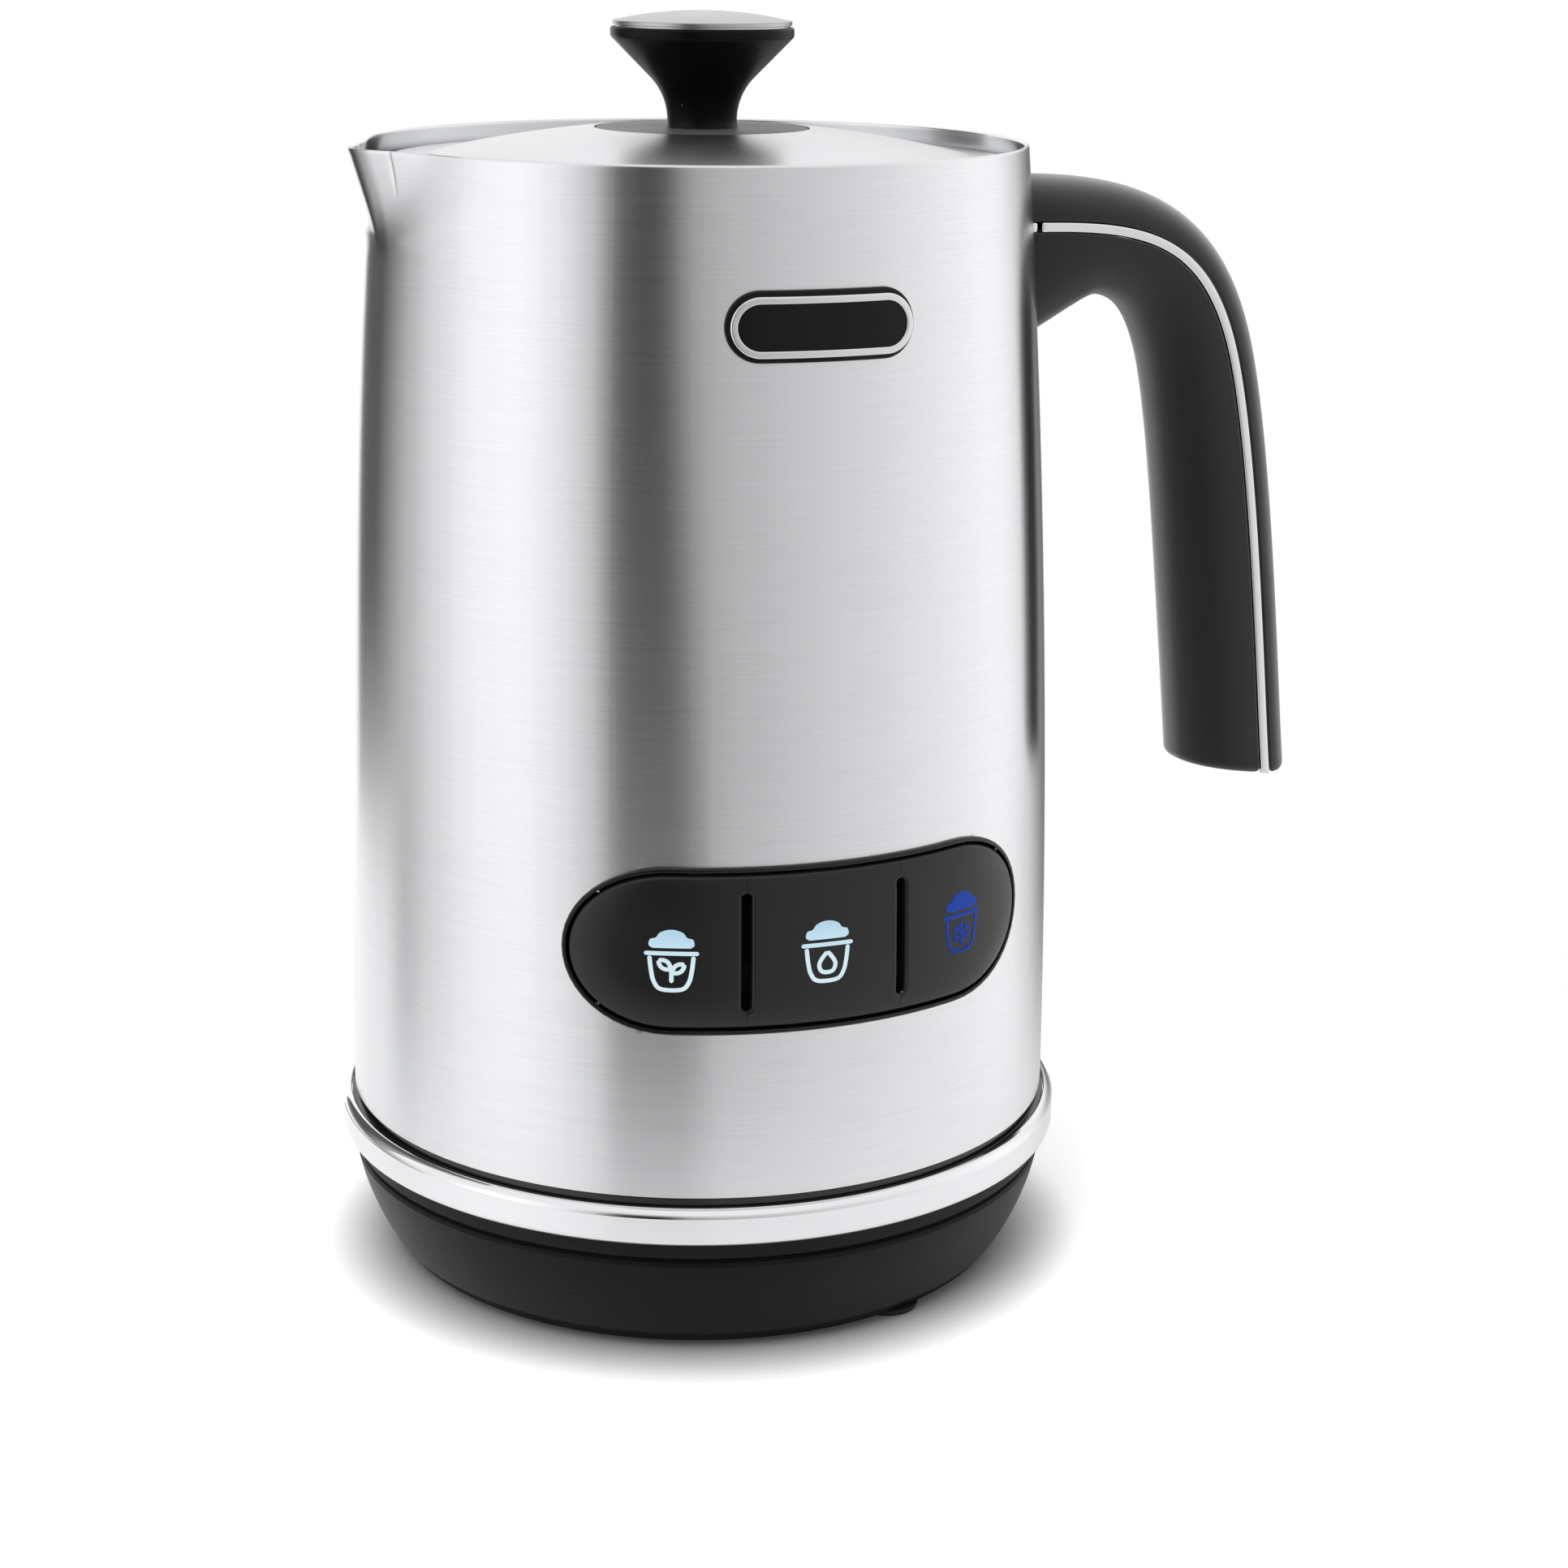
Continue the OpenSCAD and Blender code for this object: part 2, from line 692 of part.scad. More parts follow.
module badge_plate() {
    frame_len = badge_len - 2 * badge_border;
    frame_h = badge_h - 2 * badge_border;
    step = badge_proud - 0.9;
    color([0.07, 0.07, 0.07]) {
        wall_stadium(badge_len, badge_h, badge_z, fit_gap / 2, step);
        wall_stadium(frame_len - 2 * (badge_frame_w + fit_gap), frame_h - 2 * (badge_frame_w + fit_gap),
            badge_z, step - 0.1, badge_proud - 0.35);
    }
}

module badge_frame() {
    frame_len = badge_len - 2 * badge_border;
    frame_h = badge_h - 2 * badge_border;
    step = badge_proud - 0.9;
    color([0.85, 0.85, 0.86]) difference() {
        wall_stadium(frame_len, frame_h, badge_z, step + 0.02, badge_proud);
        front_prism() wrapped_stadium(frame_len - 2 * badge_frame_w, frame_h - 2 * badge_frame_w, badge_z);
    }
}

// ---- Handle ----

band_z = rim_z - handle_drop;
// The band's path starts this far inside the wall
handle_sunk = 3;
handle_start_x = wall_r(band_z) - handle_sunk;
knuckle = [belly_r + handle_reach, band_z - handle_fall];
grip_end = [knuckle[0] + handle_lean, band_z - handle_len];
// Directions of the band's path at the knuckle and at the end of the grip
knuckle_way = [0.302, -0.953];
end_way = [0.144, -0.99];
path_steps = 30;

function bezier(a, b, c, d, t) =
    pow(1 - t, 3) * a + 3 * pow(1 - t, 2) * t * b + 3 * (1 - t) * t * t * c + pow(t, 3) * d;

function bezier_way(a, b, c, d, t) =
    let(v = pow(1 - t, 2) * (b - a) + 2 * (1 - t) * t * (c - b) + t * t * (d - c)) v / norm(v);

// Control points of the arch from the wall to the knuckle, and of the grip below it
arch_run = 0.52 * (knuckle[0] - handle_start_x);
arch = [[handle_start_x, band_z], [handle_start_x + arch_run, band_z],
    knuckle - 1.04 * handle_fall * knuckle_way, knuckle];
grip = [knuckle, knuckle + 0.25 * (handle_len - handle_fall) * knuckle_way,
    grip_end - 0.14 * (handle_len - handle_fall) * end_way, grip_end];

// Points of the band's path and its direction; u runs from 0 at the wall to 1 at the end
function path_at(u) = u < 0.5 ? bezier(arch[0], arch[1], arch[2], arch[3], 2 * u)
    : bezier(grip[0], grip[1], grip[2], grip[3], 2 * u - 1);
function way_at(u) = u < 0.5 ? bezier_way(arch[0], arch[1], arch[2], arch[3], 2 * u)
    : bezier_way(grip[0], grip[1], grip[2], grip[3], 2 * u - 1);

// Smooth step from 0 at a to 1 at b
function ease(a, b, x) = let(t = max(0, min(1, (x - a) / (b - a)))) t * t * (3 - 2 * t);

// Larger of a and b, with the corner between them rounded over k
function soft_max(a, b, k) = (a + b + sqrt((a - b) * (a - b) + k * k)) / 2;

// Depth of the handle's root below the band, at the start of the path
root_depth = 23.2;

// Depth of the handle outside and inside the band, and half its width, at u
function out_depth(u) = grip_out + 1.7 * (1 - ease(0, 0.58, u));
function in_depth(u) = soft_max(root_depth * (1 - u / 0.356), grip_in - 2.7 * (1 - ease(0.15, 0.8, u)), 1.5);
function half_width(u) = handle_w / 2 - 0.45 * (1 - ease(0, 0.5, u));

// The end of the grip slopes: the inner side stops short of the outer one
end_slope = 0.28;

// Point of the handle's section: off is measured outward from the band, side along Y
function section_point(u, off, side) =
    let(p = path_at(u), w = way_at(u), n = [-w[1], w[0]],
        back = max(0, -off) * end_slope * ease(0.8, 1, u),
        q = p + n * off - w * back)
    [q[0], side, q[1]];

// Place on the path that lies out from the wall by the given distance
function root_u(out) = (handle_sunk + out) / (6 * arch_run);

function signed_pow(x, e) = sign(x) * pow(abs(x), e);

// Half section, from one side of the band over to the other, with rounded shoulders
function half_ring(u, base_off, depth, e, steps) =
    [for (i = [0:steps]) let(t = 180 * i / steps)
        section_point(u, base_off + depth * pow(max(0, sin(t)), e), -half_width(u) * signed_pow(cos(t), e))];

// Closed solid through rings of points; every ring has the same count
module loft(rings) {
    n = len(rings[0]);
    m = len(rings);
    points = [for (ring = rings, p = ring) p];
    sides = [for (j = [0:m - 2], i = [0:n - 1])
        [j * n + i, j * n + (i + 1) % n, (j + 1) * n + (i + 1) % n, (j + 1) * n + i]];
    first = [for (i = [n - 1:-1:0]) i];
    last = [for (i = [0:n - 1]) (m - 1) * n + i];
    polyhedron(points, concat(sides, [first, last]), convexity = 6);
}

// Space taken by the jug, grown by gap, that the handle's pieces are cut to
module jug_space(gap) {
    low_z = band_z - 60;
    revolved(concat([[0, low_z]], wall_line(low_z, rim_z + 5, gap), [[0, rim_z + 5]]));
}

module handle_outer() {
    color([0.07, 0.07, 0.07]) difference() {
        loft([for (j = [0:path_steps]) let(u = j / path_steps)
            turned(half_ring(u, fit_gap / 2, out_depth(u), 0.9, 14))]);
        jug_space(fit_gap);
    }
}

module handle_inner() {
    color([0.07, 0.07, 0.07]) difference() {
        loft([for (j = [0:path_steps]) let(u = j / path_steps)
            half_ring(u, -band_t - fit_gap / 2, -in_depth(u) + band_t, 0.8, 16)]);
        jug_space(fit_gap);
        bracket_tongue(0.2);
        translate([bracket_screw_x, 0, screw_seat_z - 30])
            cylinder(r = handle_screw_r + 0.2, h = 30, $fn = 32);
        translate([bracket_screw_x, 0, screw_seat_z - cut])
            cylinder(r = 1.8, h = screw_seat_t + 2 * cut, $fn = 32);
    }
}

// Bright band between the shells; it shows on both sides and at the end of the grip
module handle_band() {
    color([0.86, 0.86, 0.88]) difference() {
        union() {
            band_piece(root_u(-1), root_u(2.1));
            band_piece(root_u(3), 1);
        }
        jug_space(fit_gap);
    }
}

module band_piece(u0, u1) {
    steps = max(1, ceil(path_steps * (u1 - u0)));
    loft([for (j = [0:steps]) let(u = u0 + (u1 - u0) * j / steps, b = half_width(u) + 0.2)
        [section_point(u, 0, -b), section_point(u, 0, b),
            section_point(u, -band_t, b), section_point(u, -band_t, -b)]]);
}

bracket_drop = 9;
bracket_h = 3;
bracket_w = 9;
bracket_screw_x = belly_r + 7.5;
// Plastic between the bracket and the screw's head
screw_seat_t = 2.4;
screw_seat_z = band_z - bracket_drop - screw_seat_t;
handle_screw_r = 3;

// Tongue of the steel bracket inside the handle's root, grown by gap all round
module bracket_tongue(gap) {
    x0 = wall_r(band_z) - 2;
    translate([x0, -bracket_w / 2 - gap, band_z - bracket_drop - gap])
        cube([bracket_screw_x + 4 + gap - x0, bracket_w + 2 * gap, bracket_h + 2 * gap]);
}

module handle_bracket() {
    color([0.7, 0.7, 0.72]) difference() {
        bracket_tongue(0);
        jug_space(fit_gap / 2);
        translate([bracket_screw_x, 0, band_z - 40]) cylinder(r = 1.45, h = 60, $fn = 32);
    }
}

module handle_screw() {
    color([0.6, 0.6, 0.62]) translate([bracket_screw_x, 0, screw_seat_z])
        screw_up(handle_screw_r, 1.8, 1.4, screw_seat_t + bracket_h - 0.2);
}

// ---- Whisk ----

module whisk_pin() {
    color([0.8, 0.8, 0.82]) {
        disc(pin_r - 0.02, floor_z - vessel_t, floor_z + hub_h - 3);
        disc(pin_r + 1.5, floor_z + 0.02, floor_z + 0.8);
    }
}

hub_z = floor_z + 1.2;
hub_r = 5;
magnet_r = 11;
magnet_h = 3;

// Hub with a magnet cup below and a groove that carries the coil
module whisk_hub() {
    mid = [coil_ring_r, hub_z + coil_r + coil_wire_r];
    groove_r = coil_r + coil_wire_r + 0.2;
    groove = [for (t = [-50:10:30]) mid - groove_r * [cos(t), -sin(t)]];
    crown_z = groove[8][1] + 0.3;
    color([0.08, 0.08, 0.08]) difference() {
        revolved(concat([[0, hub_z], [groove[0][0], hub_z]], groove,
            [[groove[8][0] - 0.5, crown_z], [hub_r + 1.2, crown_z + 0.5], [hub_r, crown_z + 1.6],
                [hub_r - 1, hub_z + hub_h - 1], [hub_r - 2, hub_z + hub_h], [0, hub_z + hub_h]]));
        disc(pin_r + pin_play, hub_z - cut, floor_z + hub_h - 2.4);
        tube(magnet_r + fit_gap, hub_r - fit_gap, hub_z + 0.7, hub_z + 0.9 + magnet_h);
    }
}

module whisk_magnet() {
    color([0.3, 0.3, 0.32]) tube(magnet_r, hub_r, hub_z + 0.8, hub_z + 0.8 + magnet_h);
}

// Closed coil spring: a wire wound round a ring
module whisk_coil() {
    per_turn = 9;
    n = coil_turns * per_turn;
    sides = 6;
    mid_z = hub_z + coil_r + coil_wire_r;
    rings = [for (k = [0:n - 1]) let(a = 360 * k / n, w = a * coil_turns,
            out = [cos(a), sin(a), 0], up = [0, 0, 1],
            spoke = out * cos(w) + up * sin(w),
            along = [-sin(a), cos(a), 0] * (coil_ring_r + coil_r * cos(w)) / coil_turns
                + coil_r * (up * cos(w) - out * sin(w)),
            tangent = along / norm(along), third = cross(tangent, spoke))
        [for (i = [0:sides - 1]) let(t = 360 * i / sides)
            out * coil_ring_r + up * mid_z + spoke * coil_r
                + coil_wire_r * (spoke * cos(t) + third / norm(third) * sin(t))]];
    color([0.78, 0.78, 0.8]) polyhedron([for (ring = rings, p = ring) p],
        [for (k = [0:n - 1], i = [0:sides - 1]) let(m = (k + 1) % n, j = (i + 1) % sides)
            [k * sides + i, m * sides + i, m * sides + j, k * sides + j]], convexity = 10);
}

// ---- Lid ----

// Height of the dome's surface at radius r
function dome_at(r) = dome_z - dome_sphere_r + sqrt(pow(dome_sphere_r, 2) - r * r);
function dome_line(r0, r1, off) = [for (i = [0:10]) let(r = r0 + (r1 - r0) * i / 10) [r, dome_at(r) + off]];

lid_r = rim_r - wall_t - lid_gap;
disc_t = 0.7;
pan_z = dome_at(disc_r) - disc_t;
lid_screw_r = 2;
liner_z = border_z - lid_t - 0.1;
riser_r = rim_r - 4.2;

module lid_cover() {
    edge = arc_points([lid_r, border_z - 1], [lid_r - 1, border_z], 1, 4);
    color([0.84, 0.84, 0.86]) revolved(concat(
        [[lid_screw_r + 0.4, pan_z - lid_t], [disc_r + fit_gap, pan_z - lid_t]],
        dome_line(disc_r + lid_t, dome_r - lid_t / 2, -lid_t),
        [[dome_r, border_z - lid_t], [lid_r - 1, border_z - lid_t],
            [lid_r - 1, liner_z - 1.8], [lid_r, liner_z - 1.8]],
        edge, [[dome_r + 0.3, border_z]],
        turned(dome_line(disc_r + fit_gap, dome_r, 0)),
        [[disc_r + fit_gap, pan_z], [lid_screw_r + 0.4, pan_z]]));
}

module lid_liner() {
    plug_r = vessel_r - 2 * move_gap - 0.2;
    plug_z = lip_z - 9;
    plate_z = lip_z + 2.5;
    color([0.1, 0.1, 0.1]) difference() {
        revolved([
            [lid_screw_r + 0.2, plate_z - 1.5], [plug_r - 1.5, plate_z - 1.5], [plug_r - 1.5, plug_z],
            [plug_r, plug_z], [plug_r, lip_z], [riser_r, lip_z], [riser_r, liner_z - 1.4],
            [lid_r - 1.2, liner_z - 1.4], [lid_r - 1.2, liner_z], [riser_r - 1.5, liner_z],
            [riser_r - 1.5, plate_z], [6, plate_z], [6, pan_z - lid_t - 0.1],
            [lid_screw_r + 0.2, pan_z - lid_t - 0.1]
        ]);
        // Slots that let the milk pour to the spout with the lid on
        for (turn = [-12:4:12]) rotate([0, 0, 180 + spout_turn + turn]) translate([plug_r - 4, -0.9, plug_z + 4.5])
            cube([4 + riser_r, 1.8, 3.5]);
        rotate([0, 0, 180 + spout_turn]) translate([plug_r + 1, -8, lip_z - cut]) cube([riser_r, 16, 5 + cut]);
    }
}

module lid_seal() {
    plug_r = vessel_r - 2 * move_gap - 0.2;
    color([0.75, 0.75, 0.73]) tube(vessel_r - move_gap, plug_r + fit_gap, lip_z - 8.5, lip_z - 6);
}

module lid_disc() {
    color([0.2, 0.2, 0.21]) tube(disc_r, lid_screw_r + 0.4, pan_z, pan_z + disc_t);
}

knob_z = pan_z + disc_t;
knob_top_z = knob_z + knob_h;

// Neck, throat arc, straight flare at 45 degrees and a rounded edge
module knob() {
    throat_z = knob_z + 1.1;
    run = knob_throat_r * (1 - cos(45));
    rise = knob_throat_r * sin(45);
    flare_r = knob_r - 0.7;
    throat = [for (i = [0:8]) let(t = 45 * i / 8)
        [knob_neck_r + knob_throat_r * (1 - cos(t)), throat_z + knob_throat_r * sin(t)]];
    flare_z = throat_z + rise + flare_r - knob_neck_r - run;
    color([0.05, 0.05, 0.05]) difference() {
        revolved(concat([[0, knob_z], [knob_neck_r, knob_z]], throat,
            [[flare_r, flare_z], [knob_r - 0.15, flare_z + 0.45], [knob_r, flare_z + 0.9],
                [knob_r, knob_top_z - 0.5], [knob_r - 0.15, knob_top_z - 0.15],
                [knob_r - 0.5, knob_top_z], [0, knob_top_z]]));
        disc(lid_screw_r - 0.2, knob_z - cut, knob_z + 10);
    }
}

module knob_cap() {
    cap_r = knob_r - 0.35;
    edge_z = knob_top_z + 0.9;
    top_z = knob_top_z + knob_cap_h;
    dome = top_z - edge_z;
    groove = 0.3;
    sphere_r = (cap_r * cap_r + dome * dome) / (2 * dome);
    color([0.8, 0.8, 0.82]) revolved(concat(
        [[0, knob_top_z], [cap_r - groove, knob_top_z], [cap_r - groove, knob_top_z + groove],
            [cap_r, knob_top_z + groove]],
        arc_points([cap_r, edge_z], [0, top_z], sphere_r, 10)));
}

module knob_screw() {
    head_z = lip_z + 1;
    color([0.6, 0.6, 0.62]) translate([0, 0, head_z])
        screw_up(3.6, 2.2, lid_screw_r - 0.3, knob_z + 9 - head_z);
}

// ---- Base ----

plate_t = 2;
// How far the plate widens up to the shell
plate_flare = 1.2;
plate_top_z = foot_out + plate_t;
boss_circle_r = base_low_r - 22.1;
boss_r = 4;
gland_z = (plate_top_z + base_h) / 2;
gland_t = 1.6;

module base_shell() {
    low_r = base_low_r + plate_flare;
    side = arc_points([low_r, plate_top_z], [base_r, base_h - 0.8], base_side_r, 10);
    deck_z = base_h - base_t;
    inner = arc_points([low_r - base_t, plate_top_z], [base_r - base_t - 0.3, deck_z], base_side_r, 10);
    hub_r0 = column_r + fit_gap;
    color([0.07, 0.07, 0.07]) difference() {
        union() {
            revolved(concat([[hub_r0, deck_z]], turned(inner), side,
                [[base_r - 0.25, base_h - 0.2], [base_r - 0.8, base_h], [platform_r - move_gap, base_h],
                    [platform_r - move_gap - 0.4, platform_z], [hub_r0, platform_z]]));
            around(3, 60) translate([boss_circle_r, 0, plate_top_z])
                cylinder(r = boss_r, h = base_h - base_t + 0.5 - plate_top_z, $fn = 32);
        }
        around(3, 60) translate([boss_circle_r, 0, plate_top_z - cut])
            cylinder(r = 1.4, h = 9 + cut, $fn = 24);
        translate([0, base_low_r - 12, gland_z]) rotate([-90, 0, 0])
            cylinder(r = gland_bore_r + gland_t + fit_gap, h = 30, $fn = 48);
    }
}

module base_plate() {
    color([0.06, 0.06, 0.06]) difference() {
        revolved([[0, foot_out], [base_low_r - 0.6, foot_out], [base_low_r, foot_out + 0.5],
            [base_low_r + plate_flare, plate_top_z], [0, plate_top_z]]);
        at_feet() translate([0, 0, foot_out - cut])
            cylinder(r = foot_stem_r + fit_gap, h = cut + foot_t - foot_out, $fn = 48);
        around(3, 60) translate([boss_circle_r, 0, foot_out - cut]) {
            cylinder(r = 1.7, h = plate_t + 2 * cut, $fn = 24);
            cylinder(r = 3.4, h = cut + 1, $fn = 32);
        }
        for (side = [-1, 1], y = [12:6:24]) translate([-12, side * y - 1, foot_out - cut])
            cube([24, 2, plate_t + 2 * cut]);
    }
}

// The foot's stem sits in the bottom plate, and its pad lies under the plate
foot_stem_r = foot_r - 1.7;

// The places of the outer feet, and of the middle one under the column
module at_feet() {
    children();
    around(foot_count, foot_turn - 90) translate([foot_circle_r, 0, 0]) children();
}

module base_feet() {
    outline = [[0, 0], [foot_r - 0.7, 0], [foot_r - 0.2, 0.2], [foot_r, 0.6], [foot_r, foot_out],
        [foot_stem_r, foot_out], [foot_stem_r, foot_t], [0, foot_t]];
    color([0.1, 0.1, 0.1]) at_feet() rotate_extrude($fn = 48) polygon(outline);
}

module base_screws() {
    color([0.6, 0.6, 0.62]) around(3, 60) translate([boss_circle_r, 0, foot_out + 1])
        screw_up(3, 0.9, 1.3, 9);
}

// Round column with a wide foot; the jug can be set on it at any turn
module base_column() {
    top_z = platform_z + column_h;
    deck_z = base_h - base_t;
    color([0.12, 0.12, 0.13]) difference() {
        revolved([[0, deck_z - 2], [column_r + 5, deck_z - 2], [column_r + 5, deck_z],
            [column_r, deck_z], [column_r, top_z - 0.8], [column_r - 0.8, top_z], [0, top_z]]);
        disc(contact_r + fit_gap, platform_z + 1, top_z + cut);
        contact_groove(top_z - 5, top_z + cut);
    }
}

// Contact ring: inner radius of its groove, and thickness; seat of the contacts in the socket
contact_ring_r = 7;
contact_ring_t = 0.5;
contact_seat = 1.2;
button_r = contact_r - 0.4;

module contact_pin() {
    color([0.83, 0.68, 0.35]) disc(contact_r, platform_z + 1, platform_z + column_h - 1);
}

module contact_ring() {
    top_z = platform_z + column_h;
    color([0.83, 0.68, 0.35]) contact_hoop(top_z - 5, top_z - 0.6);
}

// Rubber gland that the mains cord leaves the base through
module cord_gland() {
    mouth_y = base_low_r + 6;
    color([0.1, 0.1, 0.1]) translate([0, mouth_y - gland_len, gland_z]) rotate([-90, 0, 0]) difference() {
        union() {
            cylinder(r = gland_bore_r + gland_t, h = gland_len, $fn = 48);
            cylinder(r = gland_bore_r + gland_t + 0.4, h = 2, $fn = 48);
        }
        translate([0, 0, -cut]) cylinder(r = gland_bore_r, h = gland_len + 2 * cut, $fn = 48);
    }
}

jug_shell();
milk_vessel();
ring_trim();
jug_collar();
jug_connector();
jug_contacts();
jug_screws();
handle_outer();
handle_inner();
handle_band();
handle_bracket();
handle_screw();
badge_plate();
badge_frame();
panel_bezel();
panel_carrier();
key_left();
key_middle();
key_right();
control_board();
key_switches();
board_screws();
heater();
temperature_sensor();
motor();
motor_bracket();
motor_screws();
motor_rotor();
motor_shaft();
whisk_pin();
whisk_hub();
whisk_coil();
whisk_magnet();
lid_cover();
lid_liner();
lid_seal();
lid_disc();
knob();
knob_cap();
knob_screw();
base_shell();
base_plate();
base_feet();
base_screws();
base_column();
contact_pin();
contact_ring();
cord_gland();
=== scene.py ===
import json
import logging
import math
from dataclasses import dataclass
from enum import Enum
from functools import lru_cache
from typing import Callable, Sequence

import bmesh
import bpy
import numpy as np
from mathutils import Matrix, Vector


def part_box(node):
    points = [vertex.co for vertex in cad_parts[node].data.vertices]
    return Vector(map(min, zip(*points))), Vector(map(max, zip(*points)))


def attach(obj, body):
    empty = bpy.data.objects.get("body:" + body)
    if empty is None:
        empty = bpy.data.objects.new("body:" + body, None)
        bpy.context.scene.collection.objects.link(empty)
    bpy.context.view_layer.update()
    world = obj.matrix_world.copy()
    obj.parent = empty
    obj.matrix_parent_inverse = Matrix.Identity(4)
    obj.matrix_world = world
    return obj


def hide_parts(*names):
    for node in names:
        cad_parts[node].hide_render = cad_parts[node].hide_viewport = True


# Looks of a milk frother: a brushed steel jug with a domed lid on a round black base.
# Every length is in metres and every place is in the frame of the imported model.

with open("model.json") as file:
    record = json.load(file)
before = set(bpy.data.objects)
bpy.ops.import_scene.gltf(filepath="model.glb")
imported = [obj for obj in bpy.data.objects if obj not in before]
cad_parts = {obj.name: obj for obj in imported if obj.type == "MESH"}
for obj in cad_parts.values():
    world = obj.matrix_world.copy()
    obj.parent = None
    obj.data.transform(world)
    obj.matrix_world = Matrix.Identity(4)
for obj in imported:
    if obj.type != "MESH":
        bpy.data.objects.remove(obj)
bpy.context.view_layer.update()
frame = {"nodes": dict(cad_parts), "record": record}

log = logging.getLogger("frother")
Array = np.ndarray
MM = 0.001


class Brushing(Enum):
    """Way in which a metal face was brushed."""

    ROUND = "lines that run round the jug"
    TURNED = "fine rings from a lathe"


# ---- Sizes that several pieces share ----


@lru_cache(maxsize=None)
def bounds_mm(node: str) -> tuple[float, ...]:
    """Lowest X, Y, Z and highest X, Y, Z of a CAD node, in millimetres."""
    low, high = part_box(node)
    return tuple(v / MM for v in (*low, *high))


@dataclass(frozen=True)
class Body:
    """Outline of the jug wall and the levels that the pieces meet at."""

    belly_r: float = 59.1 * MM
    rim_draw: float = 6.9 * MM
    belly_drop: float = 8 * MM
    wall_t: float = 0.8 * MM

    @property
    def foot_z(self) -> float:
        """Height of the steel wall's lower edge."""
        return bounds_mm("jug_shell")[2] * MM

    @property
    def rim_z(self) -> float:
        """Height of the rim."""
        return bounds_mm("jug_shell")[5] * MM

    @property
    def rim_r(self) -> float:
        """Radius of the rim."""
        return self.belly_r - self.rim_draw

    def radius(self, z: Array) -> Array:
        """Radius of the wall's outside: the belly less a share that grows with the square of the height."""
        low = self.foot_z - self.belly_drop
        return self.belly_r - self.rim_draw * ((np.asarray(z) - low) / (self.rim_z - low)) ** 2

    def wrap(self, flat: Array, mid_z: float) -> Array:
        """Lays flat points on the front wall.

        The first coordinate is measured along the wall at mid_z, the second is the height above
        mid_z and the third is the distance out from the wall: the angle is the length over the
        radius, and the radius is that of the wall at the point's own height plus the distance.

        Args:
            flat: points whose last axis holds length, height and distance out.
            mid_z: height that the flat drawing's middle is laid on.

        Returns:
            The points on the wall, with X, Y and Z on the last axis.
        """
        z = mid_z + flat[..., 1]
        angle = flat[..., 0] / self.radius(mid_z)
        r = self.radius(z) + flat[..., 2]
        return np.stack([r * np.sin(angle), -r * np.cos(angle), z], -1)


BODY = Body()
PANEL_Z = (bounds_mm("panel_bezel")[2] + bounds_mm("panel_bezel")[5]) / 2 * MM


# ---- Meshes from grids of points ----


def unit(v: Array) -> Array:
    """Vectors of the last axis at length one."""
    return v / np.maximum(np.linalg.norm(v, axis=-1, keepdims=True), 1e-12)


def ease(a: float, b: float, x: Array) -> Array:
    """Smooth step from 0 at a to 1 at b."""
    t = np.clip((x - a) / (b - a), 0, 1)
    return t * t * (3 - 2 * t)


def soft_max(a: Array, b: Array, k: float) -> Array:
    """Larger of a and b, with the corner between them rounded over k."""
    return (a + b + np.sqrt((a - b) ** 2 + k * k)) / 2


def rounded(corners: Sequence[Sequence[float]], steps: int = 5) -> Array:
    """Closed outline with round corners, in millimetres.

    Each corner is cut back along both of its sides by its fillet over the tangent of half its
    angle, and an arc about the fillet's centre joins the two cuts.

    Args:
        corners: rows of first coordinate, second coordinate and fillet.
        steps: points on each corner's arc.

    Returns:
        Points of the outline as rows of two coordinates, in metres.
    """
    c = np.array(corners, float)
    p, f = c[:, :2], np.maximum(c[:, 2], 1e-4)[:, None]
    back, ahead = unit(np.roll(p, 1, 0) - p), unit(np.roll(p, -1, 0) - p)
    half = np.arccos(np.clip((back * ahead).sum(1), -1, 1))[:, None] / 2
    half = np.clip(half, 1e-3, math.pi / 2 - 1e-3)
    centre = p + unit(back + ahead) * f / np.sin(half)
    start = (p + back * f / np.tan(half) - centre)[:, None]
    end = (p + ahead * f / np.tan(half) - centre)[:, None]
    sweep = (math.pi - 2 * half)[:, :, None]
    t = np.linspace(0, 1, steps)[None, :, None]
    arc = (np.sin((1 - t) * sweep) * start + np.sin(t * sweep) * end) / np.sin(sweep)
    return (centre[:, None] + arc).reshape(-1, 2) * MM


def arc(a: Sequence[float], b: Sequence[float], radius: float, steps: int = 12) -> Array:
    """Minor arc from a to b that bulges to the right of the way there, in millimetres; returns metres."""
    a, b = np.array(a, float), np.array(b, float)
    d = b - a
    length = np.linalg.norm(d)
    across = np.array([-d[1], d[0]]) / length
    centre = (a + b) / 2 + across * math.sqrt(radius**2 - length**2 / 4)
    t0, t1 = (math.atan2(*(p - centre)[::-1]) for p in (a, b))
    sweep = (t1 - t0 + 3 * math.pi) % (2 * math.pi) - math.pi
    t = t0 + sweep * np.linspace(0, 1, steps)
    return (centre + radius * np.stack([np.cos(t), np.sin(t)], 1)) * MM


